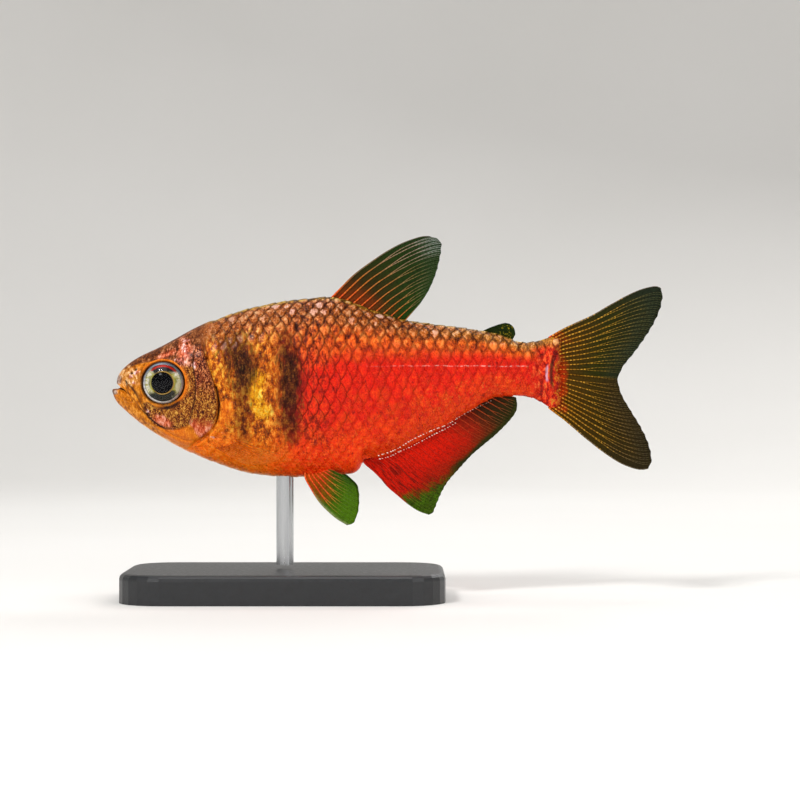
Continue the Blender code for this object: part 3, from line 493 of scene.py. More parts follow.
def markingsAndPaintedLight(start, where):
    # the fish's markings, with painted shade and painted highlights, from its own coordinates and the
    # masks that skin and coat both carry
    x, _, z = where.split()
    x, z = x / millimetre, z / millimetre - axisHeight
    cloud = where.noise(1.1, 2)
    patches = where.noise(3.8, 4, 0.74, (1.35, 1, 0.75))
    fine = where.noise(11.0, 2, 0.7, (1.2, 1, 0.85))
    fleck = where.cells(11.0)
    streaks = where.noise(2.6, 3, 0.6, (2.2, 1, 0.55)) - 0.5
    fleckAndSparkleGrain = where.noise(7.0, 2, 0.65, (1.1, 1, 0.8)).step(0.59, 0.70)
    speckle = (patches - 0.5) * 2.1 + (fine - 0.5) * 0.7 + streaks * 0.5 + 0.5
    calm = (patches - 0.5) * 0.9 + (fine - 0.5) * 0.9 + 0.5
    pepper = (patches - 0.5) * 1.3 + (fine - 0.5) * 1.8 + streaks * 0.5 + 0.5
    broad = (where.noise(1.9, 2, 0.5, (1.3, 1, 0.8)) - 0.5) * 1.3
    speckle = speckle * 0.85 + broad + 0.075
    ragged, drift = speckle - 0.5, cloud - 0.5
    around = mark(start, "around")
    behind = (mark(start, "behind") - 0.5) * 4

    def tones(name, grain=speckle):
        return grain.ramp(*zip(fleckStops, fishTones[name]))

    # the red flank, the brown and golden fore part with its yellow blotch, and the belly
    flank = ((around - 0.60) * 2.2 + drift * 1.4).step(-0.25, 0.45).mix(
        tones("flank", calm), tones("flankLow", calm))
    fore = (x * -1 - 6.35 + ragged * 0.9 + drift * 2.5).step(-0.5, 0.8)
    reddish = (x + 8.6 + ragged + drift).step(-0.6, 1.8)
    colour = fore.mix(flank, reddish.mix(tones("fore"), tones("foreRed")))
    blotch = mark(start, "blotch")
    blotch = (blotch + ragged * 0.5 + streaks * 1.2).step(0.12, 0.90) * blotch.step(0.0, 0.3)
    colour = blotch.mix(colour, tones("blotch"))
    lowEdge = around + ragged * 0.05 + drift * 0.12
    bellyTone = (x + 7.5 + drift * 3 + ragged).step(-1.5, 2.0).mix(
        tones("belly", calm), tones("bellyRed", calm))
    low = lowEdge.step(0.63, 0.78) * (x * -1 + drift * 4).step(-0.5, 1.0)
    colour = low.mix(colour, bellyTone)
    colour = ((around + drift * 0.04).step(0.90, 0.985) * (x * -1).step(2.0, 4.5)).mix(
        colour, tones("rim", calm))

    # an orange glow over the red, the brown back and its golden ridge
    height = around + (x + 6.0).step(0.0, 8.0) * 0.02 + ragged * 0.06 + drift * 0.10
    glow = height.step(0.45, 0.31) * (x + 7.2 + drift * 2).step(0.0, 0.7)
    back = height.step(0.33, 0.20)
    colour = glow.mix(colour, tones("backRed"))
    rearGold = x.step(1.0, 7.0) * 0.45
    quiet = speckle * 0.5 + calm * 0.5
    colour = back.mix(colour, rearGold.mix(tones("back", quiet), tones("backRear", quiet)))
    colour = (around + ragged * 0.05 + streaks * 0.06).step(0.105, 0.06).mix(colour, tones("ridge"))

    # two dark bars, the smoky red behind them, and gold flecks with painted sparkle
    smoke = x.step(-6.9, -6.2) * x.step(-2.4, -5.4) * around.step(0.80, 0.68)
    smoke = (smoke * 0.42 - ragged * 0.9 - streaks * 1.4).step(0.2, 0.7)
    colour = (smoke * 0.6).mix(colour, tones("cover"))
    bar = mark(start, "bars")
    ends = bar.step(0.0, 0.15)
    bar = (bar + ragged * 0.45 + drift * 0.6 + streaks * 1.4).step(0.10, 0.74) * ends
    barFull = (z.step(-3.8, -0.8) * 0.30 + 0.66) * (1 - z.step(1.6, 3.2) * 0.35)
    barFull = barFull * (1 - x.step(-8.2, -8.8) * z.step(0.4, -1.0) * 0.35)
    colour = (bar * barFull).mix(colour, tones("bar", quiet))
    rearLow = x.step(0.5, 4.0) * around.step(0.5, 0.62)
    # the fish's own gold flecks, brightened into painted sparkle; on the back they take its palest tone
    fleckAndSparkleShare = fore * (1 - bar * 0.75) * 0.5 + back * 0.25 + rearLow * 0.3
    goldFlecksAndSparkle = fleckAndSparkleGrain * fleckAndSparkleShare * around.step(0.82, 0.70)
    colour = goldFlecksAndSparkle.mix(colour, back.mix("f4b040", fishTones["back"][3]))
    lateral = abs(z - 1.15 + drift * 0.22 + ragged * 0.02).step(0.050, 0.012)
    lateral = lateral * x.step(-3.0, 4.5) * x.step(9.9, 9.3)
    dashes = (where.noise(3.4, 3, squash=(1, 0, 0)) + ragged * 0.35).step(0.44, 0.62)
    colour = (lateral * (dashes * 0.72 + 0.06)).mix(colour, "f8bcb0")

    # the tail's base: deep red, painted shade in an upright crease with a painted lilac highlight before
    # it, and the rays' roots
    stalk = (x - 9.6 + ragged * 1.2 + drift).step(0, 0.8) * around.step(0.16, 0.30)
    colour = stalk.mix(colour, tones("stalk"))
    colour = ((x - 11.36 + ragged * 1.4).step(0, 0.45) * 0.9).mix(colour, tones("rayRoot", quiet))
    bend = x - (z - 0.6) * (z - 0.6) * 0.12
    # painted shade along the crease where the skin meets the tail fin
    crease = abs(bend - 11.27 + ragged * 0.12).step(0.17, 0.05) * z.step(-0.6, 0.1) * z.step(2.1, 1.5)
    colour = (crease * 0.85).mix(colour, creaseShadeAndHemTone)
    # a painted lilac highlight just before the crease
    lilacHighlight = abs(bend - 10.95 + ragged * 0.12).step(0.13, 0.04) * z.step(0.0, 0.3) * z.step(1.35, 0.95)
    colour = (lilacHighlight * 0.72).mix(colour, "dcb4cc")

    # the head: brown crown, golden snout and jaw, flecked cheek and gill cover
    def over(below, name, low, high, tone, rough=0.3):
        return (mark(start, name) + ragged * rough).step(low, high).mix(below, tone)

    head = over(tones("jaw"), "crown", 0.3, 0.7, tones("crown", quiet))
    head = over(head, "snout", 0.25, 0.7, tones("snout"))
    head = ((z + x * 0.62 + ragged * 0.3).step(-11.0, -12.2) * (x + 15.6).step(-0.6, 0.8)).mix(
        head, tones("throat", calm))
    head = over(head, "cheek", 0.35, 0.65, tones("cheek", pepper))
    coverTone = (z + ragged * 1.2 + drift * 2.0).step(0.3, -1.3).mix(
        tones("cover", pepper), tones("cheek", pepper))
    coverTone = (z + ragged * 0.6 + drift).step(-2.3, -3.0).mix(coverTone, tones("rosy"))
    head = over(head, "cover", 0.35, 0.65, coverTone)
    head = (around + drift * 0.1).step(0.90, 0.97).mix(head, tones("rim"))
    head = over(head, "lips", 0.30, 0.75, tones("lip"))
    head = over(head, "rosy", 0.35, 0.85, tones("rosy"), 0.6)
    head = over(head, "eyeRing", 0.25, 0.85, tones("throat", calm), 0.2)
    # painted shadow just under the eye
    head = over(head, "eyeBelow", 0.35, 1.05, fishTones["cover"][0], 0.6)
    # the head ends sharply at the gill opening and fades into the back at the nape
    nape = around.step(0.34, 0.20)
    onHead = (behind * -1 + ragged * (nape * 1.2 + 0.1)).step(nape * -0.7 - 0.05, nape * 0.3 + 0.06)
    colour = onHead.mix(colour, head)
    colour = over(colour, "shoulder", 0.35, 0.75, tones("throat"), 0.5)
    # painted pink highlights on the head's shine patches
    colour = over(colour, "shine", 0.50, 0.95, tones("pink"), 0.8)
    return {"colour": colour, "speckle": speckle, "fleck": fleck, "fine": fine, "drift": drift,
            "fore": fore, "around": around, "back": back, "ragged": ragged, "bar": bar, "x": x}


# Skin: one closed surface from lips to tail base, with the head's relief moved into it
skinSize = {
    "around": 264,
    "runs": [(-18.95, -18.35, 0.040), (-18.35, -11.2, 0.056), (-11.2, -3.2, 0.30),
             (-3.2, -1.2, 0.12), (-1.2, 11.28, 0.28)],
    "coatDepth": 0.12,  # how far the skin lies inside the solids where scales cover it
    "tailReach": 0.75,  # how far it thins out over the tail fin's ray bases
    "tailSteps": 6, "tailThinning": 1.3, "tailNarrowing": 0.14,
    "tailWaves": [(0.12, 2), (0.08, 9), (0.07, 14)],  # how far and how often its end waves round the stalk
    "gape": (-18.30, -0.36, 0.15),  # how far back the mouth opens, its height and half its gap
}


def skinStations():
    places = [skinSize["runs"][0][0]]
    for start, end, spacing in skinSize["runs"]:
        count = round((end - start) / spacing)
        places += list(np.linspace(start, end, count + 1)[1:])
    return np.array(places)


headSize = {
    "coverRise": 0.13, "openingDepth": 0.26, "mouthDepth": 0.40, "cornerDepth": 0.15, "lipRise": 0.07,
    "plateRise": 0.09, "socketDepth": 0.80, "eyeRimRise": 0.06, "nostrilDepth": 0.20,
    "folds": [("jawEdge", 0.06, 0.08, 0.45), ("gularFold", 0.05, 0.09, 0.30),
              ("cheekEdge", 0.05, 0.075, 0.75)],  # line, depth, width and darkness of its painted shade
    "pores": {"count": 9, "first": -160, "apart": 17, "beyondEye": 0.62, "width": 0.06, "depth": 0.05},
}


def headRelief(x, z):
    # how far the skin stands out of the body's plain form, and how much painted shade its creases get
    rise, crease = np.zeros(x.shape), np.zeros(x.shape)
    away, hand, share = pathDistance(x, z, openingPath)
    behind = away * hand
    low, high = markings["gillCoverSpan"]
    flap = ease(low - 0.06, low + 0.06, share) * (1 - ease(high, high + 0.10, share))
    frontAway, frontHand, _ = pathDistance(x, z, smoothPath(markings["gillCoverFront"]))
    onCover = ease(-0.12, 0.10, -frontAway * frontHand)
    rise += headSize["coverRise"] * ease(0.0, -0.16, behind) * flap * onCover
    rise -= headSize["openingDepth"] * bell(behind - 0.07, 0.075) * flap
    crease += bell(behind - 0.06, 0.10) * flap * (1 - 0.75 * ease(-2.0, -3.3, z))
    onFront = (behind < -0.2) * ease(-3.0, -2.5, z)
    rise -= 0.06 * bell(frontAway, 0.08) * onFront
    crease += 0.85 * bell(frontAway, 0.08) * onFront
    rise += 0.05 * bell(behind - 0.55, 0.28) * ease(1.2, 0.2, z) * ease(-4.2, -3.0, z)

    mouthAway, _, along = pathDistance(x, z, mouthPath)
    shallower = headSize["mouthDepth"] - headSize["cornerDepth"]
    depth = headSize["mouthDepth"] - shallower * ease(0.45, 1.0, along)
    rise -= depth * bell(mouthAway, 0.085)
    crease += bell(mouthAway, 0.07) * (1 - 0.65 * ease(0.45, 0.85, along))
    rise += headSize["lipRise"] * bell(mouthAway - 0.24, 0.11) * ease(1.0, 0.9, along)
    lipAway = np.abs(mouthAway - 0.42)
    rise -= 0.035 * bell(lipAway, 0.05) * ease(1.0, 0.85, along)
    crease += 0.3 * bell(lipAway, 0.05) * ease(1.0, 0.85, along)

    plateAway, _, _ = pathDistance(x, z, maxillaPath)
    inPlate = insideOutline(x, z, markings["maxilla"])
    rise += np.where(inPlate, headSize["plateRise"] * ease(0, 0.12, plateAway),
                     -0.05 * bell(plateAway - 0.04, 0.06))
    crease += 0.55 * bell(plateAway - 0.02, 0.05) * ease(0.25, -0.35, z + 0.9 * (x + 17.7))

    for name, depth, width, dark in headSize["folds"]:
        lineAway, _, _ = pathDistance(x, z, smoothPath(markings[name]))
        rise -= depth * bell(lineAway, width)
        crease += dark * bell(lineAway, width * 0.8)

    eyeAway = np.hypot(x - eyeX, z - eyeZ)
    rise -= headSize["socketDepth"] * ease(eyeRadius + 0.08, eyeRadius - 0.10, eyeAway)
    rise += headSize["eyeRimRise"] * bell(eyeAway - eyeRadius - 0.12, 0.10)
    rise -= 0.03 * bell(eyeAway - eyeRadius - 0.36, 0.10)
    crease += 0.9 * bell(eyeAway - eyeRadius - 0.01, 0.07)
    for px, pz in markings["nostrils"]:
        pitAway = np.hypot(x - px, z - pz)
        rise -= headSize["nostrilDepth"] * bell(pitAway, 0.12)
        rise += 0.05 * bell(pitAway - 0.22, 0.06)
        crease += bell(pitAway, 0.11)
    # pores of the sensory canal, in an arc under the eye from its front to its rear
    pores = headSize["pores"]
    for k in range(pores["count"]):
        turn = math.radians(pores["first"] + pores["apart"] * k)
        px = eyeX + (eyeRadius + pores["beyondEye"]) * math.cos(turn)
        pz = eyeZ + (eyeRadius + pores["beyondEye"]) * math.sin(turn)
        pit = bell(np.hypot(x - px, z - pz), pores["width"])
        rise -= pores["depth"] * pit
        crease += 0.5 * pit
    return rise, np.clip(crease, 0, 1), behind


def insideOutline(x, z, outline):
    inside = np.zeros(np.shape(x), bool)
    for (ax, az), (bx, bz) in zip(outline, outline[1:] + outline[:1]):
        if az != bz:
            crosses = (az > z) != (bz > z)
            inside ^= crosses & (x < (bx - ax) * (z - az) / (bz - az) + ax)
    return inside


def gridNormals(points):
    ahead, over = np.gradient(points, axis=0), np.gradient(points, axis=1)
    out = np.cross(over, ahead)
    size = np.linalg.norm(out, axis=-1, keepdims=True)
    return out / np.maximum(size, 1e-9)


def skinPoints(stations, ring):
    angles = np.linspace(0, 2 * math.pi, ring + 1)
    points = bodyPoints(stations[:, None], angles[None, :])
    normals = gridNormals(points)
    normals[:, 0] = normals[:, -1] = (normals[:, 0] + normals[:, -1]) / 2
    rise, crease, behind = headRelief(*seenPlace(points))
    bareVent = bell(points[..., 0] + 2.2, 1.0) * ease(-3.6, -4.8, points[..., 2])
    sunk = skinSize["coatDepth"] * ease(0.25, 0.75, behind) * (1 - bareVent)
    sunk *= ease(bodyShape["tailBaseX"], bodyShape["tailBaseX"] - 1.2, points[..., 0])
    ends = ease(stations[0] - 0.02, stations[0] + 0.10, points[..., 0])
    points = points + normals * ((rise - sunk) * ends)[..., None]
    return openMouth(points), crease, angles


def openMouth(points):
    # draws the front of the snout back between the lips, so that the mouth stands a little open
    corner, level, gap = skinSize["gape"]
    height = points[..., 2] - level + 0.25 * (points[..., 0] - corner)
    share = bell(height, gap) * ease(corner, corner - 0.12, points[..., 0])
    moved = points.copy()
    moved[..., 0] += share * 0.96 * (corner - points[..., 0])
    upper = ease(0.0, 0.35, points[..., 2] - level) * ease(-18.5, -18.9, points[..., 0])
    moved[..., 0] += upper * 0.16
    return moved


def makeSkin(material):
    stations = skinStations()
    ring = skinSize["around"]
    points, crease, angles = skinPoints(stations, ring)
    nose = points[0].mean(axis=0)
    tailSteps = skinSize["tailSteps"]
    rows = [np.repeat(nose[None], ring + 1, 0), nose + (points[0] - nose) * 0.55]
    rows += list(points)
    middle = (points[-1].min(axis=0) + points[-1].max(axis=0)) / 2
    waves = 0.8 + sum(size * np.cos(count * angles) for size, count in skinSize["tailWaves"])
    for k in range(1, tailSteps + 1):
        t = k / tailSteps
        shrink = [1, (1 - t) ** skinSize["tailThinning"], 1 - skinSize["tailNarrowing"] * t**2]
        row = middle + (points[-1] - middle) * shrink
        row[:, 0] += t * skinSize["tailReach"] * waves
        rows.append(row)
    grid = np.array(rows)
    shade = np.vstack([crease[:1], crease[:1], crease, np.repeat(crease[-1:], tailSteps, 0)])
    columns = len(grid) - 1

    work = bmesh.new()
    bmesh.ops.create_grid(work, x_segments=columns, y_segments=ring, size=1.0)
    creaseShadeLayer = work.verts.layers.float.new("crease")
    aroundLayer = work.verts.layers.float.new("around")
    for vert in work.verts:
        i = round((vert.co.x + 1) / 2 * columns)
        j = round((vert.co.y + 1) / 2 * ring)
        vert.co = toFrame(grid[i, j])
        vert[creaseShadeLayer] = shade[i, j]
        vert[aroundLayer] = 1 - abs(1 - angles[j] / math.pi)
    bmesh.ops.remove_doubles(work, verts=work.verts, dist=2e-6)
    bmesh.ops.recalc_face_normals(work, faces=work.faces)
    mesh = writeMesh("skin", work)
    newPiece("skin", mesh, material, "flank_skin",
             "head", "lower_jaw", "gill_cover_left", "gill_cover_right", "trunk", "tail_stalk")
    around = np.empty(len(mesh.vertices))
    mesh.attributes["around"].data.foreach_get("value", around)
    mesh.attributes.remove(mesh.attributes["around"])
    paintMasks(mesh, around)


def skinMaterial():
    material, start, where, shader = newMaterial("fishSkin")
    marked = markingsAndPaintedLight(start, where)
    crease, fleck, fine = mark(start, "crease"), marked["fleck"], marked["fine"]
    # painted shade in the head's creases: the gill opening, mouth, lips, folds, eye rim, nostrils and
    # pores
    colour = (crease * 0.95 + marked["drift"] * 0.2).step(0.15, 0.95).mix(marked["colour"], creaseShadeAndHemTone)
    gilded = fleck.step(0.6, 0.9) * 0.3 + mark(start, "shine") * 0.25
    dress(start, shader, {
        "Base Color": colour,
        "Roughness": 0.44 - fleck.step(0.5, 1.0) * 0.16 + crease * 0.2 + marked["bar"] * 0.3,
        "Metallic": gilded, "Coat Weight": 0.05, "Coat Roughness": 0.14, "Specular IOR Level": 0.12,
        "Normal": start.bump(marked["speckle"] * 0.7 + fine * 0.3, 0.03)})
    return material


# Scales: rows of thin overlapping plates that follow the lateral row, one joined mesh a side
scaleSize = {
    "lateralRow": [(-12.6, 1.75), (-9.0, 1.25), (-4.0, 1.05), (2.0, 1.10), (9.3, 1.10), (11.3, 0.85)],
    "firstX": -13.9, "lastX": 11.35,
    "spacing": [(-13.9, 0.72), (-4.0, 0.76), (4.0, 0.74), (11.4, 0.62)],
    "rowPitch": [0.96, 0.93, 0.88, 0.78, 0.66, 0.58, 0.54, 0.52, 0.52, 0.52, 0.52, 0.52],
    "rowSpread": [(-13.9, 0.96), (-6.0, 1.0), (2.0, 0.92), (8.0, 0.80), (11.4, 0.76)],
    "semiLength": 1.0,  # as a share of the spacing
    "semiHeight": 1.12,  # as a share of the row pitch
    "rootDepth": 0.15, "tipHeight": 0.012, "thickness": 0.022, "dome": 0.016, "pointed": 0.20,
    "edgeWidth": 0.050, "edgeLift": 0.001,
    "mapX": (-15.5, 12.3, 280), "mapReach": 11.0, "mapStep": 0.05, "lastRow": 8.5,
    "bareBehind": (0.35, 0.55),  # the bare band behind the gill opening, and how much wider it is low down
}

lateralRow = smoothLine(scaleSize["lateralRow"])
scaleSpacing = smoothLine(scaleSize["spacing"])
rowSpread = smoothLine(scaleSize["rowSpread"])


class CoatMap:
    # places on the left side by x and by the distance round the section from the lateral row
    def __init__(self):
        reach = scaleSize["mapReach"]
        self.xs = np.linspace(*scaleSize["mapX"])
        self.ds = np.arange(-reach, reach + 0.001, scaleSize["mapStep"])
        angles = np.linspace(-math.pi / 2, 1.5 * math.pi, 721)
        self.points = np.empty((len(self.xs), len(self.ds), 3))
        self.around = np.empty((len(self.xs), len(self.ds)))
        self.top, self.bottom = np.empty(len(self.xs)), np.empty(len(self.xs))
        for i, x in enumerate(self.xs):
            section = bodyPoints(x, angles)
            arc = np.concatenate([[0], np.cumsum(np.linalg.norm(np.diff(section, axis=0), axis=1))])
            left = (angles >= 0) & (angles <= math.pi)
            row = np.interp(-lateralRow(x), -section[left, 2], arc[left])
            along = row - self.ds
            for axis in range(3):
                self.points[i, :, axis] = np.interp(along, arc, section[:, axis])
            turn = np.interp(along, arc, angles)
            self.around[i] = 1 - np.abs(1 - np.abs(turn) / math.pi)
            self.top[i] = row - np.interp(0, angles, arc)
            self.bottom[i] = np.interp(math.pi, angles, arc) - row
        self.normals = -gridNormals(self.points)

    def look(self, table, x, d):
        i = np.clip((x - self.xs[0]) / (self.xs[1] - self.xs[0]), 0, len(self.xs) - 1.001)
        j = np.clip((d - self.ds[0]) / (self.ds[1] - self.ds[0]), 0, len(self.ds) - 1.001)
        i0, j0 = i.astype(int), j.astype(int)
        s, t = i - i0, j - j0
        if table.ndim == 3:
            s, t = s[..., None], t[..., None]
        return (table[i0, j0] * (1 - s) * (1 - t) + table[i0 + 1, j0] * s * (1 - t)
                + table[i0, j0 + 1] * (1 - s) * t + table[i0 + 1, j0 + 1] * s * t)

    def place(self, x, d, height):
        points, normals = self.look(self.points, x, d), self.look(self.normals, x, d)
        return points + normals * np.asarray(height)[..., None]


coatMap = CoatMap()
print("coat map ready")


def scaleSpots():
    # the middle of every scale: x, distance from the lateral row, semi-length and semi-height
    pitches = scaleSize["rowPitch"]
    spots = []
    for way in (1, -1):
        middle, row = 0.0, 0
        while True:
            pitch = pitches[min(row, len(pitches) - 1)]
            x = scaleSize["firstX"] + scaleSpacing(scaleSize["firstX"]) * 0.5 * (row % 2)
            while x < scaleSize["lastX"]:
                d = way * middle * float(rowSpread(x))
                limit = np.interp(x, coatMap.xs, coatMap.top if way > 0 else coatMap.bottom)
                if (way > 0 or row > 0) and abs(d) < limit - 0.05:
                    spots.append((x, d, float(scaleSpacing(x)) * scaleSize["semiLength"],
                                  pitch * float(rowSpread(x)) * scaleSize["semiHeight"]))
                x += float(scaleSpacing(x))
            middle += (pitch + pitches[min(row + 1, len(pitches) - 1)]) / 2
            row += 1
            if middle > scaleSize["lastRow"]:
                break
    # those on the head and on the bare band behind the gill opening are left out
    least, wider = scaleSize["bareBehind"]
    kept = []
    for spot in spots:
        at = coatMap.place(np.array([spot[0]]), np.array([spot[1]]), np.zeros(1))[0]
        away, hand, _ = pathDistance(*seenPlace(at[None]), openingPath)
        bare = least + wider * ease(0.6, -0.8, at[2]) * ease(-4.6, -3.6, at[2])
        if away[0] * hand[0] > (bare if at[0] < -2.0 else 0):
            kept.append(spot)
    return sorted(kept, key=lambda spot: (spot[0], spot[1]))


def platePattern():
    # one scale: a rounded plate of a few dozen faces, its free end towards +x
    work = bmesh.new()
    bmesh.ops.create_grid(work, x_segments=5, y_segments=5, size=1.0)
    for vert in work.verts:
        x, y = vert.co.x, vert.co.y
        vert.co.x = x * math.sqrt(1 - y * y / 2)
        vert.co.y = y * math.sqrt(1 - x * x / 2)
    return closeBelow(work)


def edgePattern():
    # the dark hem of a scale's free end, a strip that is bent round it; x is along it, y across
    work = bmesh.new()
    bmesh.ops.create_grid(work, x_segments=9, y_segments=1, size=1.0)
    return closeBelow(work)


def closeBelow(work):
    # gives a flat sheet side walls down to -1 and a floor of one face
    rim = [edge for edge in work.edges if edge.is_boundary]
    walls = bmesh.ops.extrude_edge_only(work, edges=rim)["geom"]
    lower = [vert for vert in walls if isinstance(vert, bmesh.types.BMVert)]
    bmesh.ops.translate(work, vec=(0, 0, -1), verts=lower)
    bmesh.ops.edgeloop_fill(work, edges=[edge for edge in work.edges if edge.is_boundary])
    bmesh.ops.recalc_face_normals(work, faces=work.faces)
    return patternOf(work)


def patternOf(work):
    # a small shape that is laid many times, and where its points are
    mesh = writeMesh("pattern", work)
    return mesh, np.array([vert.co for vert in mesh.vertices])


def joinCopies(name, pattern, placed, mirrored=False):
    # one mesh from many copies of a pattern, each with its points where they are asked for
    work = bmesh.new()
    for _ in placed:
        work.from_mesh(pattern)
    for vert, at in zip(work.verts, placed.reshape(-1, 3).tolist()):
        vert.co = at
    if mirrored:
        bmesh.ops.reverse_faces(work, faces=work.faces)
    return writeMesh(name, work)


def addMap(mesh, name, values):
    # a UV map from one value pair for each vertex
    corners = np.empty(len(mesh.loops), np.int32)
    mesh.loops.foreach_get("vertex_index", corners)
    layer = mesh.uv_layers.new(name=name)
    layer.data.foreach_set("uv", np.asarray(values, np.float32)[corners].ravel())


def bakePatches(spots, points, width=0.003):
    # each scale's patch of the coat's map, at its root's place on the flattened side
    xs = np.array([spot[0] - spot[2] for spot in spots])
    ds = np.array([spot[1] for spot in spots])
    u = 0.02 + 0.96 * (xs - xs.min()) / (xs.max() - xs.min())
    v = 0.02 + 0.96 * (ds - ds.min()) / (ds.max() - ds.min())
    small = (points[:, :2] / 2) * width
    return np.stack([u, v], -1)[:, None] + small[None]


def layCoat(name, pattern, bend, spots, material):
    shape, points = pattern
    draw = random.Random(5)
    placed, around, tints = [], [], []
    for spot in spots:
        x, d, height = bend(spot, points, draw)
        placed.append(coatMap.place(x, d, height))
        around.append(coatMap.look(coatMap.around, x, d))
        tints.append(np.full(len(points), draw.random()))
    placed, around = np.array(placed), np.array(around)
    for side, mirror in (("Left", 1), ("Right", -1)):
        mesh = joinCopies(name + side, shape, toFrame(placed * (1, mirror, 1)), mirror < 0)
        addMap(mesh, "OFBake", bakePatches(spots, points).reshape(-1, 2))
        addMap(mesh, "onScale", np.tile(points[:, :2] / 2 + 0.5, (len(spots), 1)))
        storeValues(mesh, "tint", tints)
        paintMasks(mesh, around)
        newPiece(name + side, mesh, material, "flank_skin")


def plateHeight(a, b, spot, draw):
    # a plate's root is sunk under the scale before it and its free end is proud; flatter on the belly
    bold = 1 - 0.55 * float(ease(1.5, 4.5, -spot[1])) * float(ease(-4.0, -9.0, spot[0]))
    slope = -scaleSize["rootDepth"] * (1 - a) / 2 * bold
    dome = scaleSize["dome"] * (1 - (a * a + b * b) ** 2) * bold
    return slope + dome + scaleSize["tipHeight"] + draw.uniform(-0.005, 0.005) - 0.02


def bendPlate(spot, points, draw):
    x, d, semiLength, semiHeight = spot
    size = draw.uniform(0.97, 1.03)
    a, b = points[:, 0], points[:, 1]
    narrow = 1 - scaleSize["pointed"] * np.maximum(a, 0) ** 2
    height = plateHeight(a, b, spot, draw) - np.where(points[:, 2] < 0, scaleSize["thickness"], 0)
    return x + a * semiLength * size, d + b * semiHeight * size * narrow, height


def bendEdge(spot, points, draw):
    x, d, semiLength, semiHeight = spot
    size = draw.uniform(0.97, 1.03)
    turn = points[:, 0] * math.radians(100)
    taper = 1 - 0.6 * np.abs(points[:, 0]) ** 3
    reach = 1.005 - scaleSize["edgeWidth"] * taper * (1 - points[:, 1]) / 2 / semiLength
    a, b = np.cos(turn) * reach, np.sin(turn) * reach
    narrow = 1 - scaleSize["pointed"] * np.maximum(a, 0) ** 2
    height = plateHeight(a, b, spot, draw) + scaleSize["edgeLift"]
    height = height - np.where(points[:, 2] < 0, scaleSize["thickness"] + 0.006, 0)
    return x + a * semiLength * size, d + b * semiHeight * size * narrow, height


def hemMaterial():
    # strongest on the back, on the low flank and just behind the bars
    material, start, where, shader = newMaterial("scaleHem")
    marked = markingsAndPaintedLight(start, where)
    around, fore = marked["around"], marked["fore"]
    nearBars = marked["x"].step(-1.5, -5.0) * (1 - fore) * around.step(0.78, 0.6)
    strength = marked["back"] * 0.45 + around.step(0.78, 0.5) * 0.38 + nearBars * 0.25
    strength = strength - fore * around.step(0.3, 0.45) * 0.12
    strength = (strength + marked["drift"] * 0.7 + marked["ragged"] * 0.5).step(0.0, 0.85) * 0.85
    line = (around + fore * -1 - nearBars).step(0.30, 0.45).mix(creaseShadeAndHemTone, "6e0e04")
    dress(start, shader, {"Base Color": strength.mix(marked["colour"], line), "Roughness": 0.5,
                          "Specular IOR Level": 0.1})
    return material


def scaleMaterial():
    # painted light and shade on each scale, paler towards the middle of its free end and darker at its
    # edges, most on the back; painted highlights on the upper rows, streaks that fan out from the root,
    # and a tone of its own
    material, start, where, shader = newMaterial("scale")
    marked = markingsAndPaintedLight(start, where)
    around, fleck, bar = marked["around"], marked["fleck"], marked["bar"]
    tint = mark(start, "tint")
    a, b, _ = start.node("UVMap", {"uv_map": "onScale"}).split()
    a, b = a * 2 - 1, b * 2 - 1
    centre = (1 - ((a - 0.45) * (a - 0.45) * 4 + b * b * 2.5)).step(0.1, 1.0)
    upper = around.step(0.30, 0.12) * around.step(0.03, 0.07)
    # painted shade towards each scale's edges and a painted highlight in the middle of its free end
    scaleShading = centre.ramp((0.0, (0.42, 0.36, 0.34, 1)), (0.45, (0.95, 0.92, 0.90, 1)),
                      (1.0, (1.12, 1.10, 1.12, 1)))
    scaleShadingShare = (around.step(0.46, 0.26) * 0.75 + 0.12) * (1 - marked["fore"] * 0.4)
    colour = marked["colour"].shaded(scaleShading, scaleShadingShare)
    # painted highlights, pale gold or pinkish white, on some scales of the upper rows
    glint = (centre * 0.5 + tint * 0.5 + marked["ragged"]).step(0.66, 1.05) * upper * (1 - bar * 0.9)
    pale = (tint * 7.0).maths("FRACT").step(0.55, 0.7).mix("d8a67c", "e8c6bc")
    colour = (glint * 0.6).mix(colour, pale)
    fan = (b / (a + 1.6) * 26).maths("SINE") * 0.5 + 0.5
    shade = (tint * 0.45 + fan * 0.2 + marked["fine"] * 0.35).ramp(
        (0.2, (0.55, 0.5, 0.5, 1)), (0.75, (1, 1, 1, 1)))
    dress(start, shader, {
        "Base Color": colour.shaded(shade, 0.5),
        "Roughness": 0.42 - fleck.step(0.5, 1.0) * 0.16 + (tint - 0.5) * 0.1 + bar * 0.3,
        "Metallic": fleck.step(0.6, 0.95) * 0.35 + glint * 0.3,
        "Coat Weight": 0.05, "Coat Roughness": 0.12, "Specular IOR Level": 0.12,
        "Normal": start.bump(fan * 0.3 + marked["speckle"] * 0.7, 0.03)})
    return material


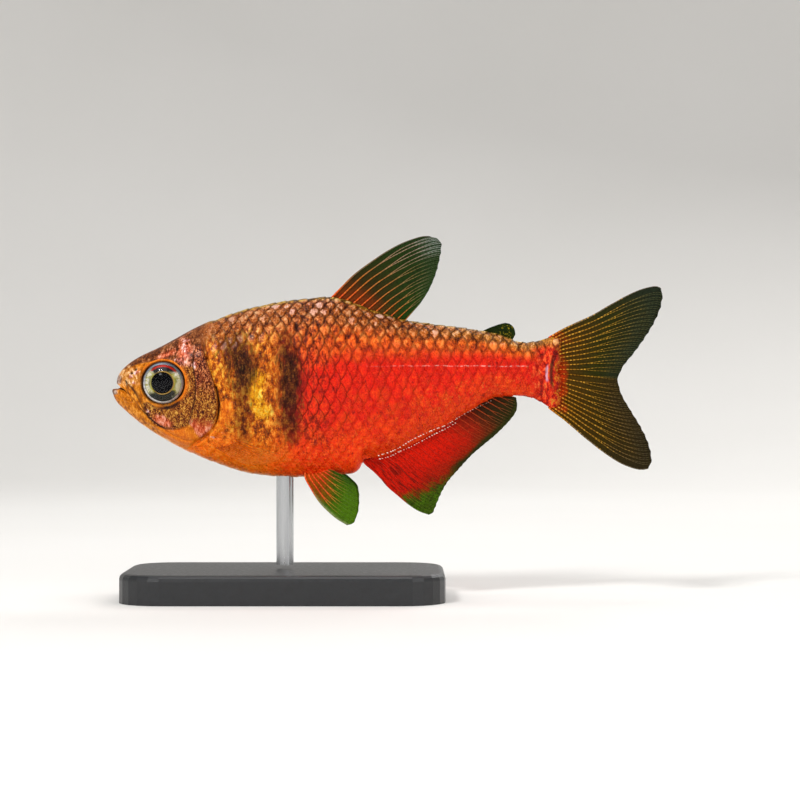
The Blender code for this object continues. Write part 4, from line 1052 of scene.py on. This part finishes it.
# Fins: a thin web between branching, jointed rays, on the sides that the solids have
finShapes = {
    "dorsal": {
        "front": [(-4.05, 5.98), (-2.46, 7.53), (-1.46, 8.28), (-0.08, 9.16), (1.06, 9.72),
                  (2.21, 10.08), (2.90, 10.13)],
        "margin": [(2.90, 10.13), (3.40, 10.00), (3.70, 9.74), (3.74, 9.35), (3.62, 8.61),
                   (3.35, 7.59), (2.86, 6.45), (2.26, 5.52)],
        "rear": [(1.05, 4.43), (2.26, 5.52)], "line": "back", "rays": 11, "replaces": ("dorsal_fin",),
    },
    "tailUpper": {
        "front": [(11.10, 3.12), (12.37, 3.83), (14.03, 4.60), (15.41, 5.40), (16.61, 6.06),
                  (17.54, 6.46), (18.45, 6.66), (18.86, 6.54)],
        "margin": [(18.86, 6.54), (19.00, 6.05), (18.83, 5.12), (18.37, 4.10), (17.73, 3.09),
                   (16.98, 2.07), (16.30, 1.24), (15.86, 0.30)],
        "rear": [(11.10, 0.72), (15.86, 0.30)], "rays": 12, "replaces": ("tail_fin_upper",),
    },
    "tailLower": {
        "front": [(11.10, -1.68), (12.37, -2.66), (13.75, -3.85), (15.14, -4.92), (16.24, -5.58),
                  (17.35, -5.94), (17.98, -5.87)],
        "margin": [(17.98, -5.87), (18.23, -5.41), (18.17, -4.67), (17.91, -3.84), (17.44, -2.92),
                   (16.80, -1.90), (16.16, -0.80), (15.86, 0.30)],
        "rear": [(11.10, 0.72), (15.86, 0.30)], "rays": 12, "replaces": ("tail_fin_lower",),
    },
    "anal": {
        "front": [(-1.75, -5.15), (-1.50, -5.50), (-0.93, -6.00), (-0.45, -6.50), (0.03, -7.08),
                  (0.70, -7.68), (1.40, -8.28), (2.15, -8.78), (2.86, -9.04)],
        "margin": [(2.86, -9.04), (3.15, -8.90), (3.47, -8.15), (3.75, -7.50), (4.20, -6.74),
                   (5.00, -5.82), (5.83, -4.92), (6.66, -4.20), (7.48, -3.51), (8.31, -2.68),
                   (8.80, -2.05), (8.95, -1.55), (8.88, -1.00)],
        "rear": [(7.70, -1.00), (8.88, -1.00)], "line": "belly", "rays": 26, "replaces": ("anal_fin",),
    },
    "adipose": {
        "front": [(6.20, 3.58), (6.90, 3.87), (7.65, 4.08), (8.10, 4.15)],
        "margin": [(8.10, 4.15), (8.45, 4.08), (8.72, 3.80), (8.82, 3.40)],
        "rear": [(8.50, 3.05), (8.82, 3.40)], "line": "back", "rays": 0, "replaces": ("adipose_fin",),
    },
    "pelvic": {
        "front": [(-5.62, -5.60), (-5.63, -6.45), (-5.27, -7.15), (-4.59, -8.18), (-3.60, -9.10),
                  (-2.73, -9.62)],
        "margin": [(-2.73, -9.62), (-2.34, -9.53), (-2.07, -9.05), (-1.97, -8.02), (-2.09, -7.16),
                   (-2.46, -6.72), (-2.80, -6.40)],
        "rear": [(-4.60, -5.60), (-2.80, -6.40)], "rays": 8, "rootY": 0.55, "lean": 0.42,
        "replaces": ("pelvic_fin_left", "pelvic_fin_right"),
    },
    "pectoral": {
        "front": [(-12.10, -3.30), (-10.20, -3.92), (-8.40, -4.50), (-7.15, -4.90)],
        "margin": [(-7.15, -4.90), (-7.20, -5.15), (-8.00, -5.45), (-9.10, -5.55), (-10.00, -5.40)],
        "rear": [(-12.00, -4.20), (-10.00, -5.40)], "rays": 11, "rootY": 1.45, "lean": 0.36, "slim": 0.6,
        "replaces": ("pectoral_fin_left", "pectoral_fin_right"),
    },
}
finSize = {
    "rootSink": 0.30, "webHalf": 0.022, "rayRoot": 0.070, "rayTip": 0.020,
    "jointLength": 0.24, "wave": 0.10, "firstFork": 0.42, "secondFork": 0.70, "forkSpread": 0.05,
    "branchShare": 0.78, "twigShare": 0.60, "frontShare": 1.15,  # thickness beside a plain ray's
    "sides": 6, "rings": {"whole": 40, "stem": 18, "branch": 12, "twig": 14},
    "webColumns": 6, "webRows": 26,
}


def finPlace(shape):
    # a function of (share along the root, share of a ray's length) that gives a fin's middle sheet
    front, margin, rear = (smoothPath(shape[key]) for key in ("front", "margin", "rear"))
    first, last = np.array(shape["front"][0]), np.array(shape["rear"][0])
    line = {"back": backLine, "belly": bellyLine}.get(shape.get("line"))
    sink = finSize["rootSink"] * (-1 if shape.get("line") == "back" else 1)

    def root(u):
        at = first + (last - first) * u[..., None]
        if line is not None:
            at[..., 1] = line(at[..., 0]) + sink
        return at

    ends = [root(np.array(0.0)), root(np.array(1.0))]
    frontLift, rearLift = ends[0] - first, ends[1] - last
    heel = (ends[0] + ends[1]) / 2

    def place(u, v):
        u, v = np.broadcast_arrays(np.asarray(u, float), np.asarray(v, float))
        s, t = u[..., None], v[..., None]
        side = (1 - s) * (front(v) + frontLift * (1 - t)) + s * (rear(v) + rearLift * (1 - t))
        ends = (1 - t) * root(u) + t * margin(u)
        corners = ((1 - s) * (1 - t) * (first + frontLift) + s * (1 - t) * (last + rearLift)
                   + (1 - s) * t * front(1.0) + s * t * rear(1.0))
        flat = side + ends - corners
        out = shape.get("rootY", 0.0) + shape.get("lean", 0.0) * np.hypot(flat[..., 0] - heel[0],
                                                                          flat[..., 1] - heel[1])
        out = out + finSize["wave"] * v**2 * np.sin(7 * u + 2.5 * v)
        return np.stack([flat[..., 0], -out, flat[..., 1]], -1)

    return place


def makeWeb(name, shape, material, side):
    place = finPlace(shape)
    rays = shape["rays"] or 4
    work = bmesh.new()
    bmesh.ops.create_grid(work, x_segments=rays * finSize["webColumns"], y_segments=finSize["webRows"],
                          size=1.0)
    work.verts.index_update()
    shares = np.array([((vert.co.x + 1) / 2, (vert.co.y + 1) / 2) for vert in work.verts])
    u, v = shares.T
    gap = np.abs(np.sin(math.pi * u * (rays - 1))) if shape["rays"] else 0 * u
    placed = place(u, v * (1 - 0.008 * gap))
    half = finSize["webHalf"] * (1.6 - v) * (1 - 0.35 * gap)
    for vert, at, way in zip(work.verts, placed, half):
        vert.co = toFrame(at + (0, way, 0))
        vert.co.y *= side
    uvLayer = work.loops.layers.uv.new("onFin")
    for face in work.faces:
        for loop in face.loops:
            loop[uvLayer].uv = shares[loop.vert.index]
    bmesh.ops.solidify(work, geom=list(work.faces), thickness=2.0 * finSize["webHalf"] * millimetre)
    bmesh.ops.recalc_face_normals(work, faces=work.faces)
    newPiece(name, writeMesh(name, work), material, "fin_web", *replacedNodes(shape, side))


def replacedNodes(shape, side):
    nodes = shape["replaces"]
    return nodes if len(nodes) == 1 else nodes[:1] if side > 0 else nodes[1:]


def rayPattern(rings):
    # a closed tube of unit length along z, cut into rings
    work = bmesh.new()
    bmesh.ops.create_cone(work, cap_ends=True, segments=finSize["sides"], radius1=1, radius2=1, depth=1)
    lengthwise = [edge for edge in work.edges if abs(edge.verts[0].co.z - edge.verts[1].co.z) > 0.5]
    bmesh.ops.subdivide_edges(work, edges=lengthwise, cuts=rings - 1, use_grid_fill=True)
    bmesh.ops.recalc_face_normals(work, faces=work.faces)
    return patternOf(work)


def rayLine(place, u, start, end, drift, points, thick):
    # bends one tube onto the fin, from one share of the ray's length to another
    t = points[:, 2] + 0.5
    v = start + (end - start) * t
    at = u + drift(t)
    middle = place(at, v)
    ahead = place(at, np.minimum(v + 0.01, 1.01)) - place(at, np.minimum(v + 0.01, 1.01) - 0.01)
    ahead /= np.linalg.norm(ahead, axis=1)[:, None]
    side = np.cross(ahead, (0, 1, 0))
    side /= np.linalg.norm(side, axis=1)[:, None]
    out = np.cross(side, ahead)
    reach = np.linalg.norm(place(u, 1.0) - place(u, 0.0))
    joints = v * reach / finSize["jointLength"]
    swell = 0.76 + 0.24 * np.abs(np.sin(math.pi * joints)) ** 0.6
    radius = thick * (1 + (finSize["rayTip"] / finSize["rayRoot"] - 1) * v**0.8) * swell
    bent = (middle + side * (points[:, 0] * radius)[:, None]
            + out * (points[:, 1] * radius * 1.25)[:, None])
    return bent, np.stack([at, v], -1), joints


def makeRays(name, finShape, material, side):
    place = finPlace(finShape)
    count = finShape["rays"]
    pitch = 1 / (count - 1)
    draw = random.Random(count)
    rings, spread = finSize["rings"], finSize["forkSpread"]
    parts = []
    for i in range(count):
        u = i * pitch
        thick = finSize["rayRoot"] * (finSize["frontShare"] if i == 0 else 1 - 0.25 * u)
        thick *= finShape.get("slim", 1)
        tip = 0.997 - draw.uniform(0, 0.008)
        forkOne = finSize["firstFork"] + draw.uniform(-spread, spread)
        forkTwo = finSize["secondFork"] + draw.uniform(-spread, spread)
        if i == 0:
            parts.append((u, 0.0, tip, lambda t: 0 * t, thick, rings["whole"]))
            continue
        parts.append((u, 0.0, forkOne + 0.01, lambda t: 0 * t, thick, rings["stem"]))
        # two branches of two twigs each; the last ray has only the first branch
        for branch in ((-0.05,) if i == count - 1 else (-0.26, 0.26)):
            far = branch * pitch
            parts.append((u, forkOne, forkTwo + 0.01, lambda t, f=far: f * ease(0, 1, t) * 0.8,
                          thick * finSize["branchShare"], rings["branch"]))
            for twig in (-1, 1):
                apart = 0.11 * pitch * twig
                parts.append((u, forkTwo, tip,
                              lambda t, f=far, s=apart: f * 0.8 + (s + f * 0.2) * ease(0, 1, t),
                              thick * finSize["twigShare"], rings["twig"]))
    patterns = {number: rayPattern(number) for number in rings.values()}
    work = bmesh.new()
    points, shares, joints = [], [], []
    for u, start, end, drift, thick, number in parts:
        shape, local = patterns[number]
        work.from_mesh(shape)
        bent, share, joint = rayLine(place, u, start, end, drift, local, thick)
        points.append(bent)
        shares.append(share)
        joints.append(joint)
    for vert, at in zip(work.verts, (toFrame(np.vstack(points)) * (1, side, 1)).tolist()):
        vert.co = at
    if side < 0:
        bmesh.ops.reverse_faces(work, faces=work.faces)
    mesh = writeMesh(name, work)
    addMap(mesh, "onFin", np.vstack(shares))
    storeValues(mesh, "joint", np.concatenate(joints))
    newPiece(name, mesh, material, "fin_web", *replacedNodes(finShape, side))


# How each fin looks: tones and where they stand from root to edge, how dark the rays' joints are,
# and how many of their segments glint
finLooks = {
    "dorsal": {"web": "7a3206 302806 1c3204 203614", "ray": "e8540a bc6818 8a7040 4e5c36",
               "stops": (0.02, 0.26, 0.60, 0.93), "joints": 0.40, "glints": 0.2},
    "tailUpper": {"web": "c83606 4a3204 2a2c04 20281a", "ray": "ee5008 b0740e 8c6c10 545a34",
                  "stops": (0.06, 0.17, 0.55, 0.95), "joints": 0.75, "glints": 0.7},
    "tailLower": {"web": "c83606 4c3404 382c04 2c240e", "ray": "ee5008 b0740e 946a10 5e5234",
                  "stops": (0.06, 0.17, 0.55, 0.95), "joints": 0.75, "glints": 0.7},
    "anal": {"web": "e01c04 d41a04 c81804 8c2004", "ray": "de2204 d01a04 c41804 962804",
             "stops": (0.04, 0.24, 0.60, 0.93), "joints": 0.22, "glints": 0.0},
    "adipose": {"web": "502408 222c06 1a2a06 1e300a", "stops": (0.04, 0.24, 0.60, 0.93)},
    "pelvic": {"web": "dc5410 8a4c08 385e04 4a7204", "ray": "f8601c ec3a10 c07a1c 4e7608",
               "stops": (0.12, 0.36, 0.60, 0.76), "joints": 0.30, "glints": 0.15},
    "pectoral": {"web": "e86008 e86408 e86c0c e07820", "ray": "c04e08 c65608 cc6008 d47420",
                 "stops": (0.04, 0.24, 0.60, 0.93), "joints": 0.0, "glints": 0.0,
                 "opacity": {"web": 0.12, "ray": 0.5}},
}


def analColour(colour, where, u, v, cloud, fine, web):
    # scarlet in front up to its green tip, olive with orange rays at the rear, a dark outer band
    rear = ("381808", "2c220a", "262608") if web else ("a83a0c", "983e14", "54421a")
    uneven = where.noise(2.2, 3) - 0.5
    colour = (u + cloud * 0.15 + uneven * 0.12).step(0.46, 0.84).mix(
        colour, v.ramp(*zip((0.1, 0.5, 0.9), rear)))
    # dark streaks lie along the first rays
    lines = u.node("CombineXYZ", {}, {0: u * 0.03, 1: v * 0.0016}).noise(3.0, 2)
    streak = lines.step(0.50, 0.60) * u.step(0.34, 0.14) * v.step(0.05, 0.2)
    colour = (streak * 0.7).mix(colour, "4c0c04")
    greens = ("34460a", "406204") if web else ("445c0c", "54760a")
    green = (uneven + fine * 0.6 + 0.5).step(0.3, 0.75).mix(*greens)
    edge = v - u - (0 if web else 0.07) + cloud * 0.25 + uneven * 0.25 + fine * 0.15
    colour = (edge.step(0.54, 0.72) * u.step(0.50, 0.34)).mix(colour, green)
    band = (v + uneven * 0.08 + cloud * 0.1).step(0.84, 0.96) * u.step(0.25, 0.42)
    return band.mix(colour, "2c3008")


def dorsalColour(colour, u, v, cloud, fine, web):
    # greener behind, and pale tips on the first long rays
    first = u.step(0.03, 0.10) * u.step(0.38, 0.24)
    if web:
        colour = (u + cloud * 0.3).step(0.45, 0.95).mix(colour, "1c3c04")
    else:
        colour = ((v + fine * 0.2).step(0.35, 0.75) * first * 0.7).mix(colour, "bc9c88")
    tips = (v + fine * 0.3).step(0.74, 0.97) * first
    return (tips * (0.3 if web else 0.85)).mix(colour, "4e6250" if web else "b8c4bc")


def finMaterial(name, key, part):
    material, start, where, shader = newMaterial(name)
    look, web = finLooks[key], part == "web"
    u, v, _ = start.node("UVMap", {"uv_map": "onFin"}).split()
    cloud, fine = where.noise(0.8, 2) - 0.5, where.noise(9.0, 2) - 0.5
    # the red of the tail's base runs further out along the middle rays
    along = v - u * u * 0.14 + u.step(0.25, 0.0) * 0.08 if key.startswith("tail") else v
    colour = (along + cloud * 0.3 + fine * 0.12).ramp(*zip(look["stops"], look[part].split()))
    if key == "anal":
        colour = analColour(colour, where, u, v, cloud, fine, web)
    if key == "dorsal":
        colour = dorsalColour(colour, u, v, cloud, fine, web)
    if not web and key in ("dorsal", "tailUpper", "tailLower"):
        # the front edge is dull instead of orange
        colour = (u.step(0.05, 0.01) * v.step(0.10, 0.35) * 0.8).mix(colour, "6a6048")
    if key == "pelvic":
        # the front edge turns pale green and the short rear rays are dark green
        colour = (u.step(0.07, 0.01) * v.step(0.30, 0.55) * 0.8).mix(colour, "86945c")
        colour = (u.step(0.55, 0.95) * v.step(0.25, 0.55) * 0.7).mix(colour, "1e4c04")
    if key == "adipose":
        dots = where.noise(9.0, 3).step(0.56, 0.66) * (u + v * 0.5).step(0.4, 0.9)
        colour = dots.mix(colour, "9c8812")
    sockets = webSockets(colour, u, v, fine) if web else raySockets(colour, where, v, fine, look)
    if "opacity" in look:
        sockets["Alpha"] = fine * 0.1 + look["opacity"][part]
    dress(start, shader, sockets)
    return material


def raySockets(colour, where, v, fine, look):
    # joints are darker, and some of the segments between them glint
    joints = abs((mark(v, "joint") * math.pi).maths("SINE"))
    dark = (joints + fine * 0.5).step(0.25, 0.7)
    colour = (dark * look["joints"] + (1 - look["joints"])).mix("3a2208", colour)
    lit = (where.cells(7.0) - v * 0.25).step(0.58, 0.76) * joints.step(0.5, 0.9) * v.step(0.95, 0.5)
    return {"Base Color": (lit * look["glints"]).mix(colour, "f4b83c"), "Roughness": 0.36,
            "Coat Weight": 0.05, "Coat Roughness": 0.15, "Specular IOR Level": 0.15,
            "Normal": v.bump(fine, 0.01)}


def webSockets(colour, u, v, fine):
    # patches of the web are thinner and darker, with fine threads along it
    threads = (u * 700).maths("SINE") * 0.5 + 0.5
    thin = colour.shaded((0.5, 0.45, 0.45, 1))
    return {"Base Color": ((fine + 0.25) * 1.6).step(0, 0.6).mix(thin, colour), "Roughness": 0.5,
            "Specular IOR Level": 0.06, "Alpha": 1.0 - v.step(0.6, 1.0) * (0.02 - fine * 0.02),
            "Normal": v.bump(threads * 0.5 + fine, 0.012)}


# Eyes: a domed iris, a black pupil with its gold ring, and a clear cornea over both
eyeSize = {"middleY": 1.40, "halfDepth": 0.78, "pupil": 0.74, "tilt": 7.0, "lensRise": 0.05}


def spinEye(name, profile, side, material, replaced=()):
    # the profile's places are (radius, how far out) from the eye's own axis, which points out of the head
    work = spinProfile(profile, 64, 1e-5)
    turn = math.radians(eyeSize["tilt"])
    for vert in work.verts:
        a, b, out = vert.co
        x, y = a * math.cos(turn) - out * math.sin(turn), a * math.sin(turn) + out * math.cos(turn)
        vert.co = toFrame((markings["eyeMiddle"] + x, side * -(eyeSize["middleY"] + y), eyeZ + b))
    bmesh.ops.recalc_face_normals(work, faces=work.faces)
    newPiece(name, writeMesh(name, work), material, "eye", *replaced)


def domeOut(radius):
    return eyeSize["halfDepth"] * math.sqrt(max(0.0, 1 - (radius / eyeRadius) ** 2))


def makeEye(side, materials):
    word = "Left" if side > 0 else "Right"
    node = "eye_left" if side > 0 else "eye_right"
    pupil = eyeSize["pupil"]
    ball = [(0.0, -0.55), (0.7, -0.5), (1.2, -0.3), (1.42, -0.1), (eyeRadius, 0.02)]
    ball += [(r, domeOut(r) - 0.02) for r in np.linspace(eyeRadius - 0.01, 1.30, 5)]
    ball += [(r, domeOut(r) - 0.045 - 0.02 * math.sin(math.pi * (1.30 - r) / 0.5))
             for r in np.linspace(1.27, pupil + 0.10, 9)]
    ball += [(pupil + 0.06, domeOut(pupil) + 0.015), (pupil + 0.01, domeOut(pupil)),
             (pupil - 0.03, domeOut(pupil) - 0.09), (0.3, domeOut(0.3) - 0.25), (0.0, 0.5)]
    spinEye("iris" + word, ball, side, materials["iris"], (node,))
    lens = [(0.0, 0.3), (pupil * 0.6, 0.35), (pupil - 0.02, domeOut(pupil) - 0.05)]
    lens += [(r, domeOut(r) + eyeSize["lensRise"] * (1 - (r / pupil) ** 2) - 0.03)
             for r in np.linspace(pupil - 0.03, 0, 8)]
    spinEye("pupil" + word, lens, side, materials["pupil"])
    clear = [(r, domeOut(r) + 0.055 * (1 - (r / eyeRadius) ** 4)) for r in np.linspace(0, 1.44, 16)]
    clear += [(r, domeOut(r) + 0.035 * (1 - (r / eyeRadius) ** 4)) for r in np.linspace(1.44, 0, 16)]
    spinEye("cornea" + word, clear, side, materials["cornea"])


def irisMaterial():
    material, start, where, shader = newMaterial("iris")
    x, _, z = where.split()
    x = (x / millimetre - markings["eyeMiddle"]) / math.cos(math.radians(eyeSize["tilt"]))
    z = z / millimetre - (eyeZ + axisHeight)
    radius = (x * x + z * z).maths("SQRT")
    angle = z.maths("ARCTAN2", x)
    cloud, fine = where.noise(2.2, 3), where.noise(9, 3)
    streaks = start.node("CombineXYZ", {}, {0: angle * 0.004, 1: radius * 0.0006}).noise(2.6, 3)
    upright = z / radius + (cloud - 0.5) * 0.7
    silver = (streaks * 0.5 + cloud * 0.5 + (fine - 0.5) * 0.4).ramp(
        (0.30, "8c8430"), (0.42, "dcd688"), (0.52, "fefaec"))
    low = (z * -1 + x * 0.4 + (cloud - 0.5) * 1.2).step(-0.5, 0.7) * 0.5
    yellow = ((radius + (cloud - 0.5) * 0.5).step(1.06, 0.86) * 0.75 + low).mix(silver, "bcb634")
    dark = z.step(-0.2, 0.2).mix("0e1606", "160a10")
    colour = (abs(upright) - z.step(-0.2, 0.2) * 0.06).step(0.52, 0.80).mix(yellow, dark)
    red = (radius + (fine - 0.5) * 0.14).step(1.06, 1.12) * (radius + (fine - 0.5) * 0.1).step(1.27, 1.22)
    colour = (red * upright.step(0.62, 0.80)).mix(colour, "c81c08")
    outer = (radius + (cloud - 0.5) * 0.06).step(1.25, 1.30)
    rim = (cloud * 0.6 + streaks * 0.4).ramp((0.32, "8a8e98"), (0.52, "f6f4f0"))
    rim = z.step(-0.3, 0.9).mix(rim, "868e9c")
    beside = abs(upright).step(0.50, 0.15) * (radius + (cloud - 0.5) * 0.6).step(1.08, 0.96)
    colour = (beside * radius.step(0.80, 0.90) * 0.55).mix(colour, "585a1c")
    colour = outer.mix(colour, rim)
    colour = (abs(radius - 1.245).step(0.03, 0.01) * 0.75).mix(colour, "1c1a14")
    colour = radius.step(1.385, 1.42).mix(colour, "100c0e")
    inner = radius.step(pupilRing(0.075), pupilRing(0.05))
    colour = inner.mix(colour, "c49a3c")
    colour = radius.step(pupilRing(0.005), pupilRing(-0.02)).mix(colour, "050505")
    dress(start, shader, {"Base Color": colour, "Roughness": 0.28, "Metallic": 0.15 + (fine - 0.5) * 0.3,
                          "Normal": start.bump(streaks, 0.02)})
    return material


def pupilRing(beyond):
    return eyeSize["pupil"] + beyond


def eyeMaterials():
    made = {"iris": irisMaterial()}
    material, start, where, shader = newMaterial("pupil")
    black = where.noise(1.0).mix((0.001, 0.001, 0.001, 1), (0.002, 0.002, 0.005, 1))
    dress(start, shader, {"Base Color": black, "Roughness": 0.12, "Specular IOR Level": 0.12})
    made["pupil"] = material
    material, start, where, shader = newMaterial("cornea")
    dress(start, shader, {"Base Color": (0.0, 0.0, 0.0, 1), "Roughness": 0.03 + where.noise(1.5) * 0.03,
                          "Alpha": 0.10, "Specular IOR Level": 0.6})
    made["cornea"] = material
    return made


# Two rows of pale beads where the anal fin's muscles meet its rays
beadSize = {
    "rows": [  # each row's line and its number of beads
        ([(-0.66, -5.00), (0.17, -4.74), (0.86, -4.42), (1.67, -3.92), (3.16, -3.22), (4.06, -2.88),
          (5.25, -2.16), (6.15, -1.70), (7.20, -1.20)], 44),
        ([(-0.61, -5.24), (0.17, -5.06), (0.86, -4.70), (1.67, -4.36), (3.16, -3.56), (4.06, -3.12),
          (4.70, -2.74)], 30),
    ],
    "radius": 0.042, "least": 0.085,
}


def makeBeads(material):
    work = bmesh.new()
    bmesh.ops.create_uvsphere(work, u_segments=8, v_segments=5, radius=1.0)
    shape, points = patternOf(work)
    draw = random.Random(3)
    placed = []
    for line, count in beadSize["rows"]:
        path = smoothPath(line)
        for share in np.linspace(0.01, 0.99, count):
            x, z = path(np.clip(share + draw.uniform(-0.006, 0.006), 0, 1))
            size = beadSize["radius"] * draw.choice((0.55, 0.8, 1.0, 1.0, 1.15))
            size = size * (1 - 0.5 * ease(3.5, 7.0, x))
            stretch = draw.uniform(1.2, 2.0)
            for side in (-1, 1):
                y = side * max(float(np.nan_to_num(flankY(x, z))), beadSize["least"])
                placed.append(toFrame(points * (size * stretch, size * 0.7, size) + (x, y, z)))
    mesh = joinCopies("finBaseBeads", shape, np.array(placed))
    newPiece("finBaseBeads", mesh, material, "flank_skin")


def beadMaterial():
    material, start, where, shader = newMaterial("bead")
    dress(start, shader, {"Base Color": where.noise(2.0).mix("f2c8b4", "f6e2dc"),
                          "Roughness": 0.25, "Coat Weight": 0.5})
    return material


# Stand: its CAD nodes stay and get their paint and steel
def standMaterials():
    material, start, where, shader = newMaterial("satinBlack")
    speckle = where.noise(3.0, 4)
    dress(start, shader, {"Base Color": speckle.mix("191a1c", "26282b"),
                          "Roughness": 0.38 + (speckle - 0.5) * 0.2,
                          "Normal": start.bump(where.noise(9.0, 2), 0.012)})
    steel, start, where, shader = newMaterial("brushedSteel")
    brushed = where.noise(4.0, 3, squash=(1, 1, 0.06))
    dress(start, shader, {"Base Color": brushed.mix("9c9ea2", "d2d4d6"),
                          "Metallic": 1.0, "Roughness": 0.24 + (brushed - 0.5) * 0.25,
                          "Normal": start.bump(brushed, 0.01)})
    for name, made in (("stand_base", material), ("stand_rod", steel)):
        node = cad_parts[name]
        for place in node.material_slots:
            place.material = made


# Studio: a pale floor that curves up all round, soft lights, and the camera of the photo
studio = {
    "frameWidth": 55.18, "frameMiddle": (0.862, 13.63), "lens": 100.0, "sensor": 36.0,
    "flatRadius": 200.0, "curve": 190.0, "curveSteps": 12, "wall": 120.0, "floor": "e9e7e3",
    "lights": [  # name, place, size and power
        ("key", (-120, -190, 210), 70, 0.52), ("fill", (190, -200, 120), 160, 0.14),
        ("top", (10, 40, 290), 200, 0.36), ("rim", (110, 210, 190), 150, 0.26),
    ],
    "aim": (-1.0, 0.0, -1.0), "sky": (0.95, 0.97, 1.0, 1), "skyPower": 0.17,
}


def makeStage():
    flat, curve, wall = (studio[key] * millimetre for key in ("flatRadius", "curve", "wall"))
    profile = [(share * flat, 0) for share in (0.0, 0.5, 1.0)]
    for k in range(1, studio["curveSteps"] + 1):
        turn = math.radians(90 / studio["curveSteps"] * k)
        profile.append((flat + curve * math.sin(turn), curve * (1 - math.cos(turn))))
    profile.append((flat + curve, curve + wall))
    work = spinProfile(profile, 72, 1e-6)
    bmesh.ops.reverse_faces(work, faces=work.faces)
    mesh = writeMesh("floor", work)
    mesh.shade_smooth()
    floor = linked("floor", mesh)
    material, start, where, shader = newMaterial("paleFloor")
    dress(start, shader, {"Base Color": where.noise(0.02).mix(studio["floor"], "efedea"),
                          "Roughness": 0.85})
    mesh.materials.append(material)


def makeLights():
    target = Vector(toFrame(studio["aim"]))
    for name, place, size, power in studio["lights"]:
        light = bpy.data.lights.new(name, "AREA")
        light.shape, light.size, light.energy = "DISK", size * millimetre, power
        holder = linked(name, light)
        holder.location = Vector(place) * millimetre
        holder.rotation_euler = (target - holder.location).to_track_quat("-Z", "Y").to_euler()
        holder.visible_camera = False
    world = bpy.data.worlds.new("studio")
    world.use_nodes = True
    bpy.context.scene.world = world
    sky = world.node_tree.nodes["Background"]
    sky.inputs["Color"].default_value = studio["sky"]
    sky.inputs["Strength"].default_value = studio["skyPower"]
    bpy.context.scene.view_settings.view_transform = "Standard"


def makeCamera():
    data = bpy.data.cameras.new("camera")
    data.lens, data.sensor_width = studio["lens"], studio["sensor"]
    data.clip_start, data.clip_end = 0.005, 10
    camera = linked("camera", data)
    distance = studio["frameWidth"] * studio["lens"] / studio["sensor"]
    x, z = studio["frameMiddle"]
    camera.location = Vector((x, -distance, z)) * millimetre
    camera.rotation_euler = (math.radians(90), 0, 0)
    bpy.context.scene.camera = camera


makeCamera()
makeStage()
makeLights()
print("camera, floor and lights ready")

makeSkin(skinMaterial())
print("skin ready")

spots = scaleSpots()
layCoat("scales", platePattern(), bendPlate, spots, scaleMaterial())
layCoat("scaleHems", edgePattern(), bendEdge, spots, hemMaterial())
print("scales ready:", len(spots), "a side")

for key, shape in finShapes.items():
    webMaterial = finMaterial(key + "Web", key, "web")
    rayMaterial = finMaterial(key + "Ray", key, "ray") if shape["rays"] else None
    for side in ((1, -1) if "rootY" in shape else (1,)):
        word = ("Left" if side > 0 else "Right") if "rootY" in shape else ""
        makeWeb(key + "Web" + word, shape, webMaterial, side)
        if rayMaterial:
            makeRays(key + "Rays" + word, shape, rayMaterial, side)
print("fins ready")

eyeSet = eyeMaterials()
for side in (1, -1):
    makeEye(side, eyeSet)
makeBeads(beadMaterial())
standMaterials()
print("eyes, beads and stand ready")
